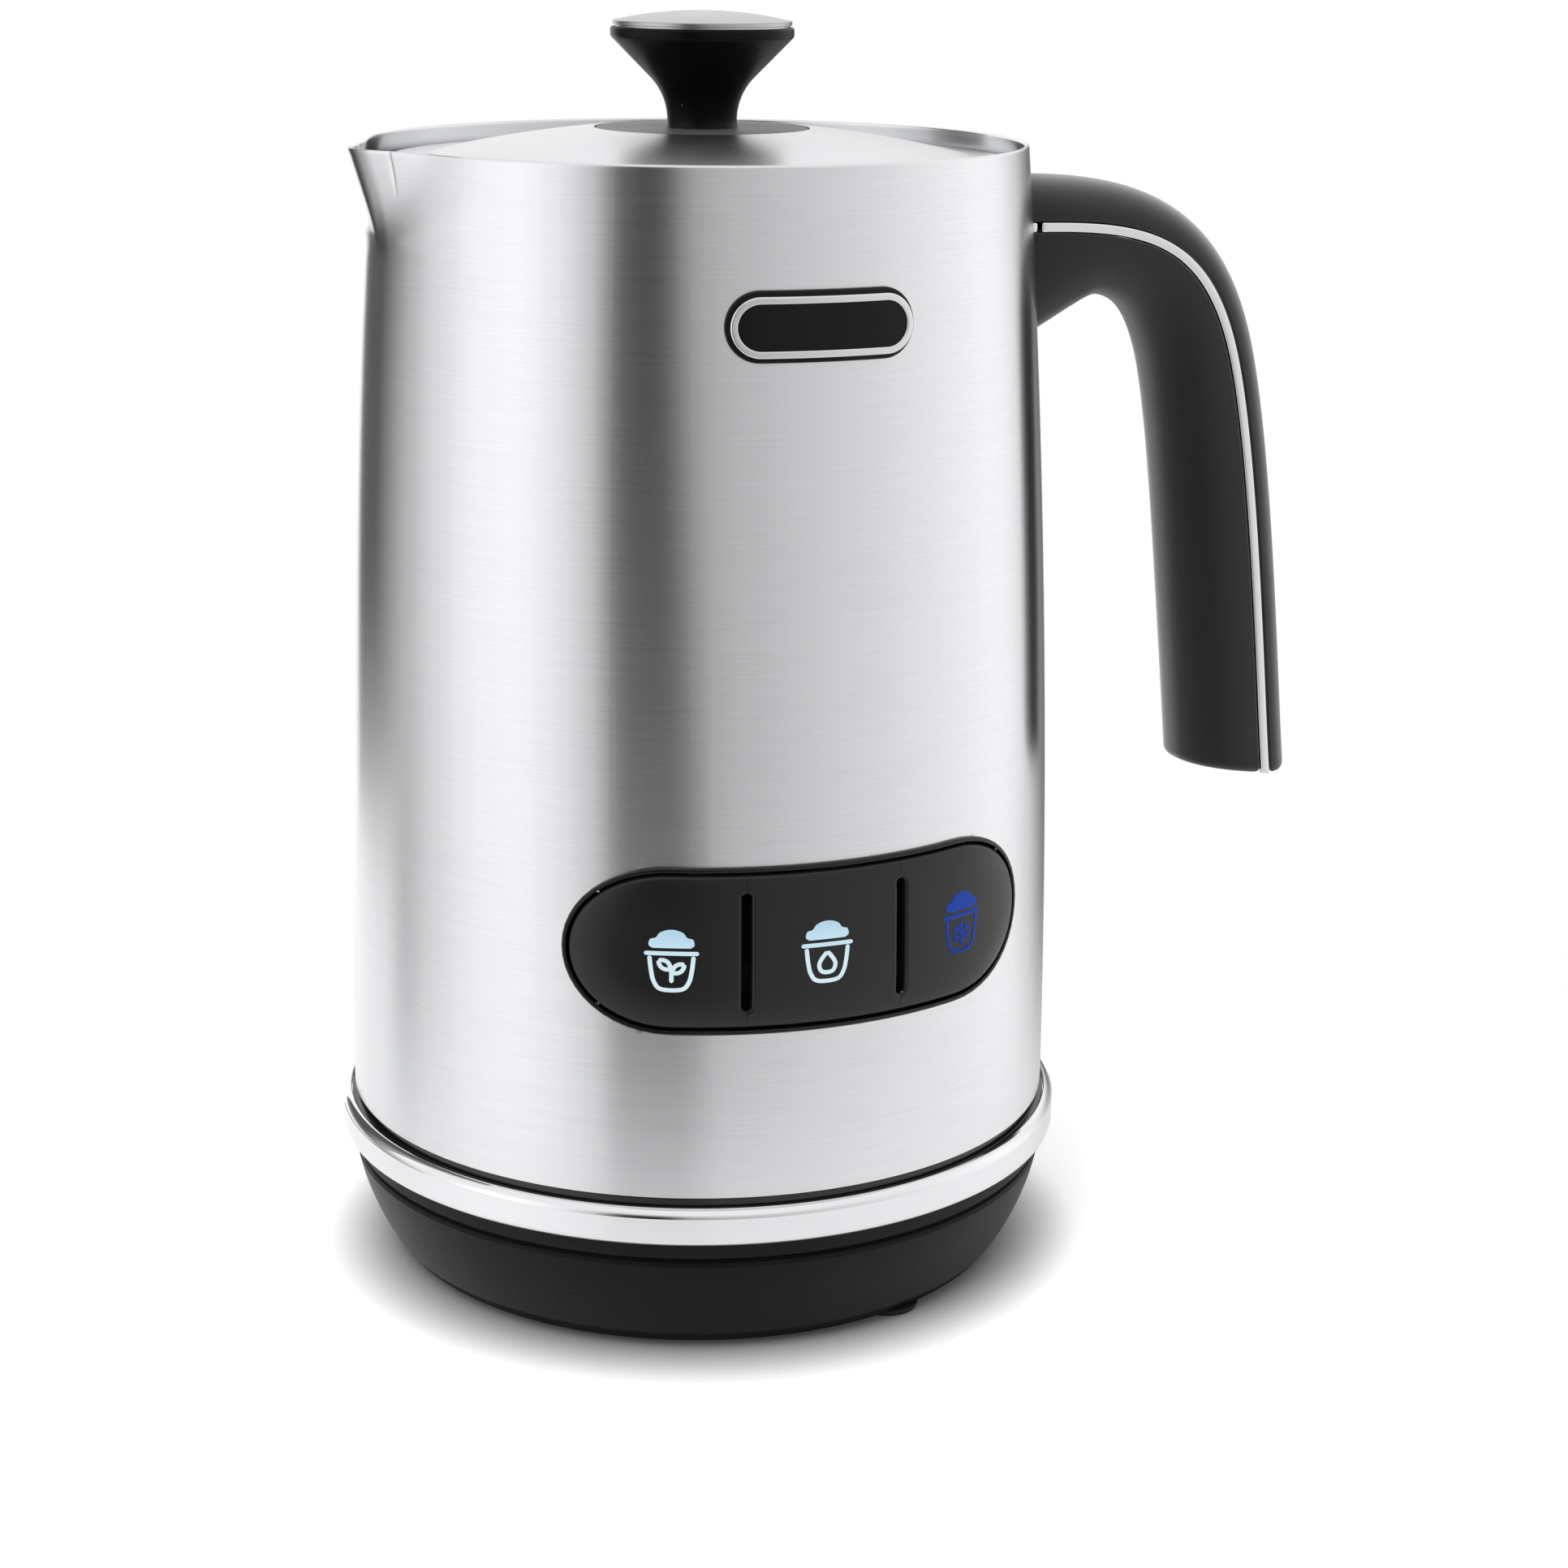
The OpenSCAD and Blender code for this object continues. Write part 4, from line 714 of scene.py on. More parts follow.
class Finishes:
    """Every finish of the frother, by the record's slot or by its own name."""

    def __init__(self) -> None:
        """Builds the materials."""
        made: list[Finish] = [
            BrushedSteel("steel", (0.79, 0.795, 0.81, 1.0), 0.22),
            BrushedSteel("cap_steel", (0.5, 0.5, 0.515, 1.0), 0.22, Brushing.TURNED, depth=0.000004),
            Polished("polished_steel", (0.76, 0.765, 0.78, 1.0), 0.3, 0.07),
            Polished("bright_trim", (0.82, 0.825, 0.84, 1.0), 0.05, 0.05),
            Moulded("vessel_coat", grey(0.055), 0.38, 3500.0, 0.00001, 0.0),
            Moulded("shell_black", grey(0.0025), 0.5, 1900.0, 0.00005, 0.0, 700.0, specular=0.2),
            EdgeHighlit("base_black", grey(0.002), 0.52, 1900.0, 0.00004, 0.0, 700.0, specular=0.12, sheen=0.14,
                 sheen_rough=0.45, edge=bounds_mm("base_shell")[5] * MM),
            Moulded("seam_black", grey(0.006), 0.12, 3000.0, 0.000003, 0.01, 1300.0),
            Polished("badge_silver", (0.74, 0.745, 0.76, 1.0), 0.16, 0.06),
            Moulded("handle_black", (0.0008, 0.0011, 0.0018, 1.0), 0.42, 4200.0, 0.0000015, 0.0, 1300.0,
                    specular=0.25, sheen=0.6, sheen_rough=0.5),
            Moulded("knob_black", grey(0.0008), 0.3, 4200.0, 0.000006, 0.002, 1300.0, specular=0.12),
            Moulded("panel_black", grey(0.003), 0.24, 4000.0, 0.000003, 0.004, 1300.0, specular=0.35),
            Moulded("key_black", grey(0.004), 0.34, 4500.0, 0.000004, 0.003, 1300.0, specular=0.42, sheen=0.02,
                    sheen_rough=0.4),
            Moulded("badge_black", grey(0.002), 0.3, 4000.0, 0.000004, 0.004, 1300.0, specular=0.2),
            Speckled("disc_dark", grey(0.075), 0.42, 4000.0, 0.000004, 0.01, specular=0.25),
            Moulded("inner_plastic", grey(0.03), 0.42, 2600.0, 0.00002, 0.004),
            Moulded("rubber_black", grey(0.012), 0.62, 1700.0, 0.00004, 0.03, 800.0),
            Moulded("seal_silicone", grey(0.5, -0.02), 0.45, 2500.0, 0.00001, 0.0),
            PlainMetal("screw_steel", (0.55, 0.55, 0.57, 1.0), 0.3, 2600.0, 0.00001),
            PlainMetal("bracket_steel", (0.6, 0.6, 0.62, 1.0), 0.34, 1500.0, 0.00001),
            PlainMetal("motor_can", (0.52, 0.53, 0.55, 1.0), 0.32, 900.0, 0.00001),
            BrushedSteel("shaft_steel", (0.7, 0.7, 0.72, 1.0), 0.18, Brushing.TURNED),
            PlainMetal("magnet", (0.2, 0.2, 0.21, 1.0), 0.5, 2800.0, 0.00003),
            PlainMetal("heater_alloy", (0.62, 0.63, 0.65, 1.0), 0.4, 700.0, 0.00005),
            Moulded("board_green", (0.012, 0.09, 0.035, 1.0), 0.35, 1200.0, 0.00002, 0.0, coat=0.4),
            Moulded("sensor_white", grey(0.62, -0.03), 0.3, 900.0, 0.00002, 0.0),
            PlainMetal("contact_brass", (0.78, 0.6, 0.28, 1.0), 0.22, 2400.0, 0.000008),
        ]
        self.by_name = {f.name: f.material() for f in made}

    def __getitem__(self, name: str) -> bpy.types.Material:
        """The material of that name."""
        return self.by_name[name]

    def dress_nodes(self) -> None:
        """Puts each CAD node's own finish into its material slots."""
        for part in frame["record"]["subparts"]:
            node, slot = frame["nodes"][part["node"]], part["material_slot"]
            slot = "base_black" if part["node"] == "base_shell" else slot
            for place_in_list in range(max(1, len(node.data.materials))):
                if len(node.data.materials) <= place_in_list:
                    node.data.materials.append(self[slot])
                node.data.materials[place_in_list] = self[slot]


# ---- The jug ----


@dataclass(frozen=True)
class JugShell:
    """Steel wall with its pinched spout and the opening behind the key panel."""

    spout_at: float = -84.0
    spout_half: tuple[float, float] = (17.0, 9.0)
    fuller: float = 1.46 * MM
    fuller_z: tuple[float, float] = (50 * MM, 165 * MM)
    # Half angle of the band on the spout's nose that gets the painted dark reflection.
    painted_nose_half: float = 4.0
    spout_reach: float = 6.8 * MM
    spout_depth: float = 16.2 * MM
    spout_end: float = 3.0 * MM
    low_reach: float = 1.6 * MM
    nose_r: tuple[float, float] = (9.0 * MM, 6.0 * MM)
    fold_r: float = 1.0 * MM
    crease: float = 0.8 * MM
    fold_share: float = 0.93
    dent: float = 0.14 * MM
    dent_at: float = 8.2
    dent_w: float = 0.006
    dent_fade: tuple[float, float] = (0.15, 0.6)
    edge_r: float = 0.4 * MM
    window_len: float = 81.2 * MM
    window_h: float = 25.6 * MM
    snap: float = 0.5 * MM
    window_in: float = 0.5 * MM
    fine_panel: float = 16 * MM
    fine_spout: float = 19 * MM

    def spout(self, angle: Array, z: Array) -> Array:
        """Outside of the spout: its radius from the jug's axis.

        At each height the spout is the hull of a nose circle and two fold circles. Their radii, their
        distances from the axis and the angle between them run straight from the rim to the spout's low
        end. Its face is the line that touches a fold circle and the nose: with the normal at angle b
        and the distance d from the axis, the radius at angle a is d / cos(a - b). Across the nose it is
        the circle, and past b it falls as d cos(a - b). Under the low end the radius shrinks as a ball
        does. Each face has one fine upright dent that fades out downward.

        Args:
            angle: angle from the spout's middle line, in radians.
            z: height.

        Returns:
            The radius; it is less than the wall's away from the spout.
        """
        low = BODY.rim_z - self.spout_depth + self.spout_end
        t = np.clip((BODY.rim_z - z) / (BODY.rim_z - low), 0, 1)
        low_r = float(BODY.radius(low))
        nose_r = self.nose_r[0] + (self.nose_r[1] - self.nose_r[0]) * t
        top_x = BODY.rim_r + self.spout_reach - self.nose_r[0]
        cx = top_x + (low_r + self.low_reach - self.nose_r[1] - top_x) * t
        half = np.radians(self.spout_half[0] + (self.spout_half[1] - self.spout_half[0]) * t)
        fold = BODY.rim_r + (low_r - BODY.rim_r) * t + self.fold_share * self.fuller - self.fold_r
        fx, fy = fold * np.cos(half), fold * np.sin(half)
        b = np.arccos(np.clip((self.fold_r - nose_r) / np.hypot(cx - fx, fy), -1, 1)) - np.arctan2(fy, cx - fx)
        reach = cx * np.cos(b) + nose_r
        a = np.abs(angle)
        face = np.where(a < b, reach / np.maximum(np.cos(a - b), 0.1), reach * np.cos(np.minimum(a - b, 1.5)))
        nose = cx * np.cos(a) + np.sqrt(np.maximum(nose_r**2 - (cx * np.sin(a)) ** 2, 0))
        touch = np.arctan2(nose_r * np.sin(b), cx + nose_r * np.cos(b))
        drop = np.clip(low - z, 0, self.spout_end)
        end = self.spout_end - np.sqrt(self.spout_end**2 - drop**2)
        line = np.exp(-((a - math.radians(self.dent_at)) / self.dent_w) ** 2) * (1 - ease(*self.dent_fade, t))
        return np.where(a <= touch, nose, face) - end - self.dent * line

    def sheet(self, angle: Array, z: Array, inset: Array) -> Array:
        """Points of the wall, moved in by inset: the larger of wall and spout, with a soft crease.

        Toward the spout the wall is fuller, by a share that grows with the height and with the square
        of the cosine of the angle from the spout.
        """
        near = np.maximum(np.cos(angle - math.radians(self.spout_at)), 0) ** 2
        wall = BODY.radius(z) + self.fuller * ease(*self.fuller_z, z) * near
        far = 6 * MM
        lift = np.maximum(self.spout(angle - math.radians(self.spout_at), z) - wall, -far)
        r = wall + soft_max(0, lift, self.crease) - soft_max(0, -far, self.crease) - inset
        return np.stack([r * np.sin(angle), -r * np.cos(angle), z + 0 * angle], -1)

    def window(self, angle: Array, z: Array) -> Array:
        """Signed distance on the wall from the edge of the panel's opening, negative inside it."""
        x = angle * float(BODY.radius(PANEL_Z))
        return pill_gap(x, z - PANEL_Z, self.window_len, self.window_h, PANEL.end - self.window_in)

    def snapped(self, angle: Array, z: Array) -> tuple[Array, Array]:
        """Grid with the points beside the opening's edge drawn onto it, down the distance's gradient."""
        step = 1e-6
        for _ in range(3):
            d = self.window(angle, z)
            slope_a = (self.window(angle + step / BODY.belly_r, z) - d) / step
            slope_z = (self.window(angle, z + step) - d) / step
            beside = np.abs(d) < self.snap
            angle = np.where(beside, angle - d * slope_a / BODY.belly_r, angle)
            z = np.where(beside, z - d * slope_z, z)
        return angle, z

    def mesh(self) -> bpy.types.Mesh:
        """Builds the wall from one closed profile per angle: up the outside, over the edge, down the inside.

        The grid is fine at the spout and at the opening. The quads inside the opening are left out
        on both sheets, and walls join the sheets along the hole.
        """
        angles = np.radians(np.unique(np.concatenate([
            np.arange(-180, 180, 3.0), np.arange(-108, -60, 0.45), np.arange(-44, 44.1, 0.8),
            np.arange(-93.2, -91.2, 0.12), np.arange(-76.8, -74.8, 0.12)]).round(3)))
        panel_low, panel_high = PANEL_Z - self.fine_panel, PANEL_Z + self.fine_panel
        spout_low = BODY.rim_z - self.fine_spout
        heights = np.concatenate([
            np.linspace(BODY.foot_z, panel_low, 5, endpoint=False),
            np.linspace(panel_low, panel_high, 40, endpoint=False),
            np.linspace(panel_high, spout_low, 9, endpoint=False),
            np.linspace(spout_low, BODY.rim_z - self.edge_r, 42)])
        angle, z = self.snapped(*np.meshgrid(angles, heights, indexing="ij"))
        over = np.radians(np.linspace(0, 180, 9)[1:-1])
        n, rows = len(heights), len(angles)
        edge_z = np.broadcast_to(BODY.rim_z - self.edge_r + self.edge_r * np.sin(over), (rows, len(over)))
        edge_in = BODY.wall_t / 2 * (1 - np.cos(over))
        every_z = np.concatenate([z, edge_z, z[:, ::-1]], 1)
        every_a = np.concatenate([angle, np.repeat(angle[:, -1:], len(over), 1), angle[:, ::-1]], 1)
        inset = np.concatenate([np.zeros(n), edge_in, np.full(n, BODY.wall_t)])
        p = self.sheet(every_a, every_z, inset[None])
        d = self.window(angle, z)
        corners = np.stack([d[:, :-1], d[:, 1:], np.roll(d, -1, 0)[:, :-1], np.roll(d, -1, 0)[:, 1:]])
        solid = ~((corners.max(0) < 0.05 * MM) & (corners.sum(0) < 0))
        count = p.shape[1]
        keep = np.ones((rows, count), bool)
        keep[:, : n - 1] = solid
        keep[:, count - n: count - 1] = solid[:, ::-1]
        net = Net().grid(p, True, True, keep)
        index = np.arange(rows * count).reshape(rows, count)
        ahead = np.roll(index, -1, 0)
        i, j = np.nonzero(solid[:, :-1] != solid[:, 1:])
        level = np.stack([index[i, j + 1], ahead[i, j + 1], ahead[i, count - 2 - j], index[i, count - 2 - j]], 1)
        i, j = np.nonzero(solid != np.roll(solid, -1, 0))
        upright = np.stack([ahead[i, j], ahead[i, j + 1], ahead[i, count - 2 - j], ahead[i, count - 1 - j]], 1)
        net.quads += [level, upright]
        mesh = net.mesh("steel_wall", 50)
        self.mark_nose_painted_reflection(mesh)
        return mesh

    def mark_nose_painted_reflection(self, mesh: bpy.types.Mesh) -> None:
        """Stores in the attribute "nose" how far each point belongs to the spout's nose, the band where the steel
        material paints a darker grey as the nose's dark reflection.
        """
        co = np.empty(3 * len(mesh.vertices))
        mesh.vertices.foreach_get("co", co)
        x, y, z = co.reshape(-1, 3).T
        off = np.abs(np.degrees(np.arctan2(x, -y)) - self.spout_at)
        low = BODY.rim_z - self.spout_depth
        share = (1 - ease(0.75 * self.painted_nose_half, 1.3 * self.painted_nose_half, off)) * ease(low - 1 * MM, low + 2 * MM, z)
        mesh.attributes.new("nose", "FLOAT", "POINT").data.foreach_set("value", share)


@dataclass(frozen=True)
class JugFoot:
    """Bright ring and dark seam at the bottom of the jug."""

    seam_inset: float = 0.35
    seam_lip: float = 0.42
    seam_depth: float = 1.05
    shoulder_r: float = 2.05
    turns: int = 288

    def ring(self) -> bpy.types.Mesh:
        """Builds the ring: an upright face with a crisp upper edge, and a round shoulder that runs in to the seam."""
        _, _, z0, r, _, z1 = bounds_mm("ring_trim")
        belly = BODY.belly_r / MM
        face = np.array([[r - 0.35, z0 + 0.02], [r - 0.1, z0 + 0.3], [r, z0 + 0.7], [r - 0.02, z1 - 1.75]]) * MM
        shoulder = arc((r - 0.1, z1 - 1.68), (belly + 0.7, z1 - 0.3), self.shoulder_r, 24)
        rest = np.array([[belly + 0.55, z1 - 0.42], [belly + 0.5, z1 - 1.1], [belly - 0.3, z1 - 1.15],
                         [belly - 0.3, z0], [r - 0.95, z0], [r - 0.6, z0]])
        return ring_mesh("bright_ring", np.concatenate([face, shoulder, rest * MM]), self.turns, 12)

    def seam(self) -> bpy.types.Mesh:
        """Builds the glossy band between the ring and the steel, a turned profile with round edges."""
        z0, z1 = bounds_mm("ring_trim")[5] - self.seam_depth, BODY.foot_z / MM
        r, out = BODY.belly_r / MM - self.seam_inset, BODY.belly_r / MM + self.seam_lip
        profile = rounded([(r - 0.5, z0, 0.05), (out, z0, 0.05), (out, z0 + 0.3, 0.1), (r, z0 + 0.45, 0.1),
                           (r, z1 - 0.02, 0.3), (r - 0.5, z1 - 0.02, 0.05)], 7)
        return ring_mesh("foot_seam", profile, self.turns, 40)


# ---- Pieces that lie on the front wall ----


def pill_gap(x: Array, z: Array, length: float, height: float, end: float) -> Array:
    """Signed distance from the outline of a shape with straight sides and oval ends, negative inside.

    Past the straight part q = hypot(x / end, 2 z / height) is 1 on the outline, and q - 1 is divided
    by the length of q's gradient.
    """
    x = np.maximum(np.abs(x) - (length / 2 - end), 0)
    b = height / 2
    q = np.maximum(np.hypot(x / end, z / b), 1e-6)
    return (q - 1) * q / np.maximum(np.hypot(x / end**2, z / b**2), 1e-6)


def pill_loop(length: float, height: float, inset: Array, end: float, bend: int = 25, run: int = 60) -> Array:
    """Outlines of a shape with straight sides and oval ends, each moved in by an inset.

    An end is half an oval about the end's centre whose half axes are end - inset and h / 2 - inset,
    and the sides join the two.

    Args:
        length: whole length.
        height: whole height.
        inset: row of insets.
        end: length of each oval end.
        bend: points on each round end.
        run: points on each straight side.

    Returns:
        Points as insets by outline by two.
    """
    half = length / 2 - end
    t = np.linspace(-math.pi / 2, math.pi / 2, bend)
    side = np.linspace(-half, half, run + 2)[1:-1]
    cx = np.concatenate([np.full(bend, half), side[::-1], np.full(bend, -half), side])
    out_x = np.concatenate([np.cos(t), 0 * side, -np.cos(t), 0 * side])
    out_z = np.concatenate([np.sin(t), 0 * side + 1, -np.sin(t), 0 * side - 1])
    inset = np.asarray(inset)[:, None]
    return np.stack([cx + (end - inset) * out_x, (height / 2 - inset) * out_z], -1)


def pill_mesh(name: str, length: float, height: float, section: Array, mid_z: float, hollow: bool,
              end: float = 0.0) -> bpy.types.Mesh:
    """Mesh of a section carried round such an outline and laid on the wall.

    Args:
        name: name of the mesh.
        length: whole length of the outline.
        height: whole height of the outline.
        section: rows of inset and distance out from the wall. It is closed when hollow; otherwise it
            starts and ends on the outline's middle line.
        mid_z: height of the outline's middle on the wall.
        hollow: whether the shape has an opening in it.
        end: length of each oval end; the ends are round without it.

    Returns:
        The mesh.
    """
    loops = pill_loop(length, height, section[:, 0], end or height / 2)
    out = np.broadcast_to(section[:, 1][:, None, None], loops.shape[:2] + (1,))
    flat = np.concatenate([loops, out], -1)
    return Net().grid(BODY.wrap(flat, mid_z), hollow, True).mesh(name, 40)


def capped(edge: float, top: float, low: float, middle: float, fillet: float) -> Array:
    """Section of a plate from its middle line over a round edge to its back, in millimetres; returns metres."""
    t = np.linspace(0, math.pi / 2, 7)
    bend = np.stack([edge + fillet * (1 - np.sin(t)), top - fillet * (1 - np.cos(t))], 1)
    return np.concatenate([[[middle, top]], bend, [[edge, low], [middle, low]]]) * MM


@dataclass(frozen=True)
class KeyPanel:
    """Bezel and three keys in one strip with two slots between them."""

    length: float = 82.2 * MM
    height: float = 26.6 * MM
    end: float = 17.0 * MM
    bezel_w: float = 1.1 * MM
    bezel_out: float = 0.7 * MM
    key_out: float = 1.35 * MM
    play: float = 0.3 * MM
    slot_turn: float = 12.3
    slot_w: float = 1.45 * MM
    slot_h: float = 18.6 * MM
    hairline: float = 0.03 * MM
    taper: float = 0.6 * MM
    back: float = -1.0 * MM
    edge_r: float = 0.6 * MM
    crown: float = 0.95 * MM
    crown_w: float = 6.5 * MM

    def bezel(self) -> bpy.types.Mesh:
        """Builds the bezel: a closed section with round edges, carried round the panel."""
        w, top = (self.bezel_w - self.play) / MM, self.bezel_out / MM
        section = rounded([(0, 0.06, 0.02), (0.05, top, 0.35), (w, top - 0.05, 0.2), (0.68, -0.05, 0.05),
                           (0.68, -0.85, 0.05), (0.56, -0.85, 0.05), (0.56, 0.06, 0.02)], 7)
        return pill_mesh("panel_frame", self.length, self.height, section, PANEL_Z, True, self.end)

    def sides(self, z: Array, inset: float, side: int, seam: float) -> tuple[Array, Array]:
        """Left and right edge of a key at a height, moved in by inset.

        An oval end has the half axes of the panel's less the bezel. Beside a slot the edge is the slot's
        outline, grown by the inset: its half width is sqrt(w^2 - (|z| - s)^2) past its straight part s.
        """
        r, long = self.height / 2 - self.bezel_w - inset, self.end - self.bezel_w - inset
        end = self.length / 2 - self.end + long * np.sqrt(np.maximum(1 - (z / r) ** 2, 0))
        grown = self.slot_w / 2 + inset
        past = np.maximum(np.abs(z) - (self.slot_h - self.slot_w) / 2, 0)
        notch = np.sqrt(np.maximum(grown**2 - past**2, 0))
        x = float(BODY.radius(PANEL_Z)) * math.radians(self.slot_turn)
        inner, outer = x - np.maximum(notch, seam), x + np.maximum(notch, seam)
        if side == 0:
            return -inner, inner
        return (outer, end) if side > 0 else (-end, -outer)

    def crowned(self, x: Array, z: Array) -> Array:
        """How much lower the keys' face is near the panel's outline: 1 - sqrt(1 - v^2) of a soft edge."""
        cut = 2 * self.bezel_w
        gap = pill_gap(x, z, self.length - cut, self.height - cut, self.end - self.bezel_w)
        v = np.clip(1 + gap / self.crown_w, 0, 1)
        return self.crown * (1 - np.sqrt(np.maximum(1 - v * v, 0)))

    def key(self, side: int) -> bpy.types.Mesh:
        """Builds a key: outlines on a rounded edge section, closed by a face of rows across it.

        Args:
            side: -1 for the left key, 0 for the middle one and 1 for the right one.

        Returns:
            The key's mesh.
        """
        half = self.height / 2 - self.bezel_w
        slot = self.slot_h / 2
        bow = np.sin(np.linspace(0, math.pi / 2, 16)) * half
        slot_end = np.linspace(slot - 1.2 * MM, slot + 0.5 * MM, 22)
        middle = np.linspace(-slot + 0.4 * MM, slot - 0.4 * MM, 40)
        rows = np.unique(np.concatenate([middle, bow, -bow, slot_end, -slot_end])) / half
        across = (1 - np.cos(np.linspace(0, math.pi, 44)))[:, None] / 2
        turn = np.radians(np.linspace(0, 90, 7))
        insets = np.concatenate([[self.taper], self.edge_r * (1 - np.cos(turn))])
        outs = np.concatenate([[self.back], self.key_out - self.edge_r * (1 - np.sin(turn))])
        loops, face = [], []
        for inset, out in zip(insets, outs):
            z = rows * (half - inset)
            left, right = self.sides(z, inset, side, self.hairline + (inset if out < 0 else 0.0))
            x, level = left + (right - left) * across, z + 0 * across
            face = np.stack([x, level, out - (self.crowned(x, level) if out > 0 else 0 * x)], -1)
            loops.append(np.concatenate([face[0], face[1:-1, -1], face[-1, ::-1], face[-2:0:-1, 0]]))
            if out < 0:
                back = face
        net = Net()
        for flat, wrapped in ((np.stack(loops), True), (face, False), (back, False)):
            net.grid(BODY.wrap(flat, PANEL_Z), round_columns=wrapped)
        return net.mesh(("left", "middle", "right")[side + 1] + "_key_face", 40)


@dataclass(frozen=True)
class Sign:
    """Lit pictogram on a key, drawn with strokes of one width."""

    name: str
    body: str
    x: float
    z: float
    strokes: tuple[Array, ...]
    cloud: tuple[tuple[float, float], ...] = ()
    fine: tuple[Array, ...] = ()
    width: float = 0.66
    fine_share: float = 0.62
    foam_mid: float = 3.0
    lift: float = 0.02 * MM

    def ribbon(self, path: Array, width: float) -> Array:
        """Flat stroke along a path, with round ends.

        The half width at the distance s from an end is sqrt(w^2 - (w - s)^2) within w of it, and the
        section is a low arch over the key's face.
        """
        step = np.linalg.norm(np.diff(path, axis=0), axis=1)
        s = np.concatenate([[0], np.cumsum(step)])
        w = width / 2
        cap = w * (1 - np.cos(np.radians(np.linspace(0, 90, 6)[:-1])))
        at = np.unique(np.concatenate([cap, np.linspace(w, s[-1] - w, max(3, int(s[-1] / 0.22))), s[-1] - cap]))
        p = np.stack([np.interp(at, s, path[:, 0]), np.interp(at, s, path[:, 1])], 1)
        way = unit(np.gradient(p, axis=0))
        across = np.stack([-way[:, 1], way[:, 0]], 1)
        edge = np.minimum(np.minimum(at, s[-1] - at), w)
        half = np.sqrt(np.maximum(w**2 - (w - edge) ** 2, 1e-9))
        v = np.array([-1, -0.85, 0, 0.85, 1, 0])
        out = np.array([0.0, 0.05, 0.06, 0.05, 0.0, -0.05])
        flat = p[:, None] + across[:, None] * v[None, :, None] * half[:, None, None]
        return np.concatenate([flat, np.broadcast_to(out[None, :, None], flat.shape[:2] + (1,))], -1)

    def laid(self, flat: Array) -> Array:
        """Points of the drawing, in millimetres, laid on the key's face just above it."""
        return BODY.wrap(flat * MM + np.array([self.x, self.z - PANEL_Z, PANEL.key_out + self.lift]), PANEL_Z)

    def mesh(self) -> bpy.types.Mesh:
        """Builds all strokes of the sign, and its foam, on the key's face."""
        net = Net()
        wide, thin = self.width, self.fine_share * self.width
        for path, width in [(p, wide) for p in self.strokes] + [(p, thin) for p in self.fine]:
            net.rod(self.laid(self.ribbon(np.asarray(path, float), width)))
        if self.cloud:
            edge = bent(self.cloud)
            edge = np.concatenate([edge, edge[-1] + (edge[0] - edge[-1]) * np.linspace(0, 1, 14)[1:-1, None]])
            middle = np.stack([0.9 * edge[:, 0], 0 * edge[:, 1] + self.foam_mid], 1)
            rings = [(0, -0.04), (0, 0.02), (0.06, 0.05), (0.4, 0.06), (1, 0.06), (1, -0.04)]
            flat = np.stack([np.concatenate([edge + (middle - edge) * t, np.full((len(edge), 1), out)], 1)
                             for t, out in rings])
            net.grid(self.laid(flat), True, True)
        return net.mesh(self.name, 60)


def bent(points: Sequence[Sequence[float]]) -> Array:
    """Smooth path through points: on each stretch a cubic whose slopes join the neighbours' points."""
    p = np.array(points, float)
    p = np.concatenate([2 * p[:1] - p[1:2], p, 2 * p[-1:] - p[-2:-1]])
    t = np.linspace(0, 1, 12, endpoint=False)[None, :, None]
    a, b, c, d = (p[k: len(p) - 3 + k][:, None] for k in range(4))
    curve = 0.5 * (2 * b + (c - a) * t + (2 * a - 5 * b + 4 * c - d) * t**2 + (3 * b - 3 * c + d - a) * t**3)
    return np.concatenate([curve.reshape(-1, 2), p[-2:-1]])


def bowed(a: Sequence[float], b: Sequence[float], rise: float) -> Array:
    """Path from a to b that bows to its left by rise at the middle, as 4 t (1 - t) does."""
    a, b = np.array(a, float), np.array(b, float)
    t = np.linspace(0, 1, 16)[:, None]
    side = np.array([-(b - a)[1], (b - a)[0]]) / np.linalg.norm(b - a)
    return a + (b - a) * t + side * rise * 4 * t * (1 - t)


def cup() -> list[Array]:
    """Strokes of a tall cup: its rim, and its wall and floor in one line."""
    bowl = [(-3.3, 0.75), (-3.05, -1.5), (-2.6, -3.4), (-1.5, -4.55)]
    bowl += [(-x, z) for x, z in bowl[::-1]]
    return [bent(bowl), np.array([(-4.1, 1.15), (4.1, 1.15)])]


def sprout() -> list[Array]:
    """Strokes of a stem with two leaves, inside a cup."""
    left, right = ((-0.1, -1.35), (-1.95, 0.05)), ((0.1, -1.95), (1.95, -0.55))
    leaves = [bowed(*left, 0.62), bowed(*left, -0.62), bowed(*right, 0.6), bowed(*right, -0.6)]
    return [np.array([(0, -3.5), (0, -1.2)])] + leaves


def drop() -> list[Array]:
    """Strokes of a drop of milk, inside a cup."""
    side = [(0, 0.0), (-0.95, -1.2), (-1.3, -2.2), (-0.75, -3.2)]
    return [bent(side + [(-x, z) for x, z in side[::-1]])]


def snowflake() -> list[Array]:
    """Strokes of a snowflake inside a cup: three bars through its middle, with two barbs near each end."""
    strokes, middle = [], np.array([0, -1.75])
    for k in range(6):
        a = math.radians(60 * k + 30)
        out, turn = np.array([math.cos(a), math.sin(a)]), np.array([-math.sin(a), math.cos(a)])
        if k < 3:
            strokes.append(np.stack([middle - 1.95 * out, middle + 1.95 * out]))
        for s in (-1, 1):
            strokes.append(np.stack([middle + 0.95 * out, middle + 1.6 * out + s * 0.62 * turn]))
    return strokes


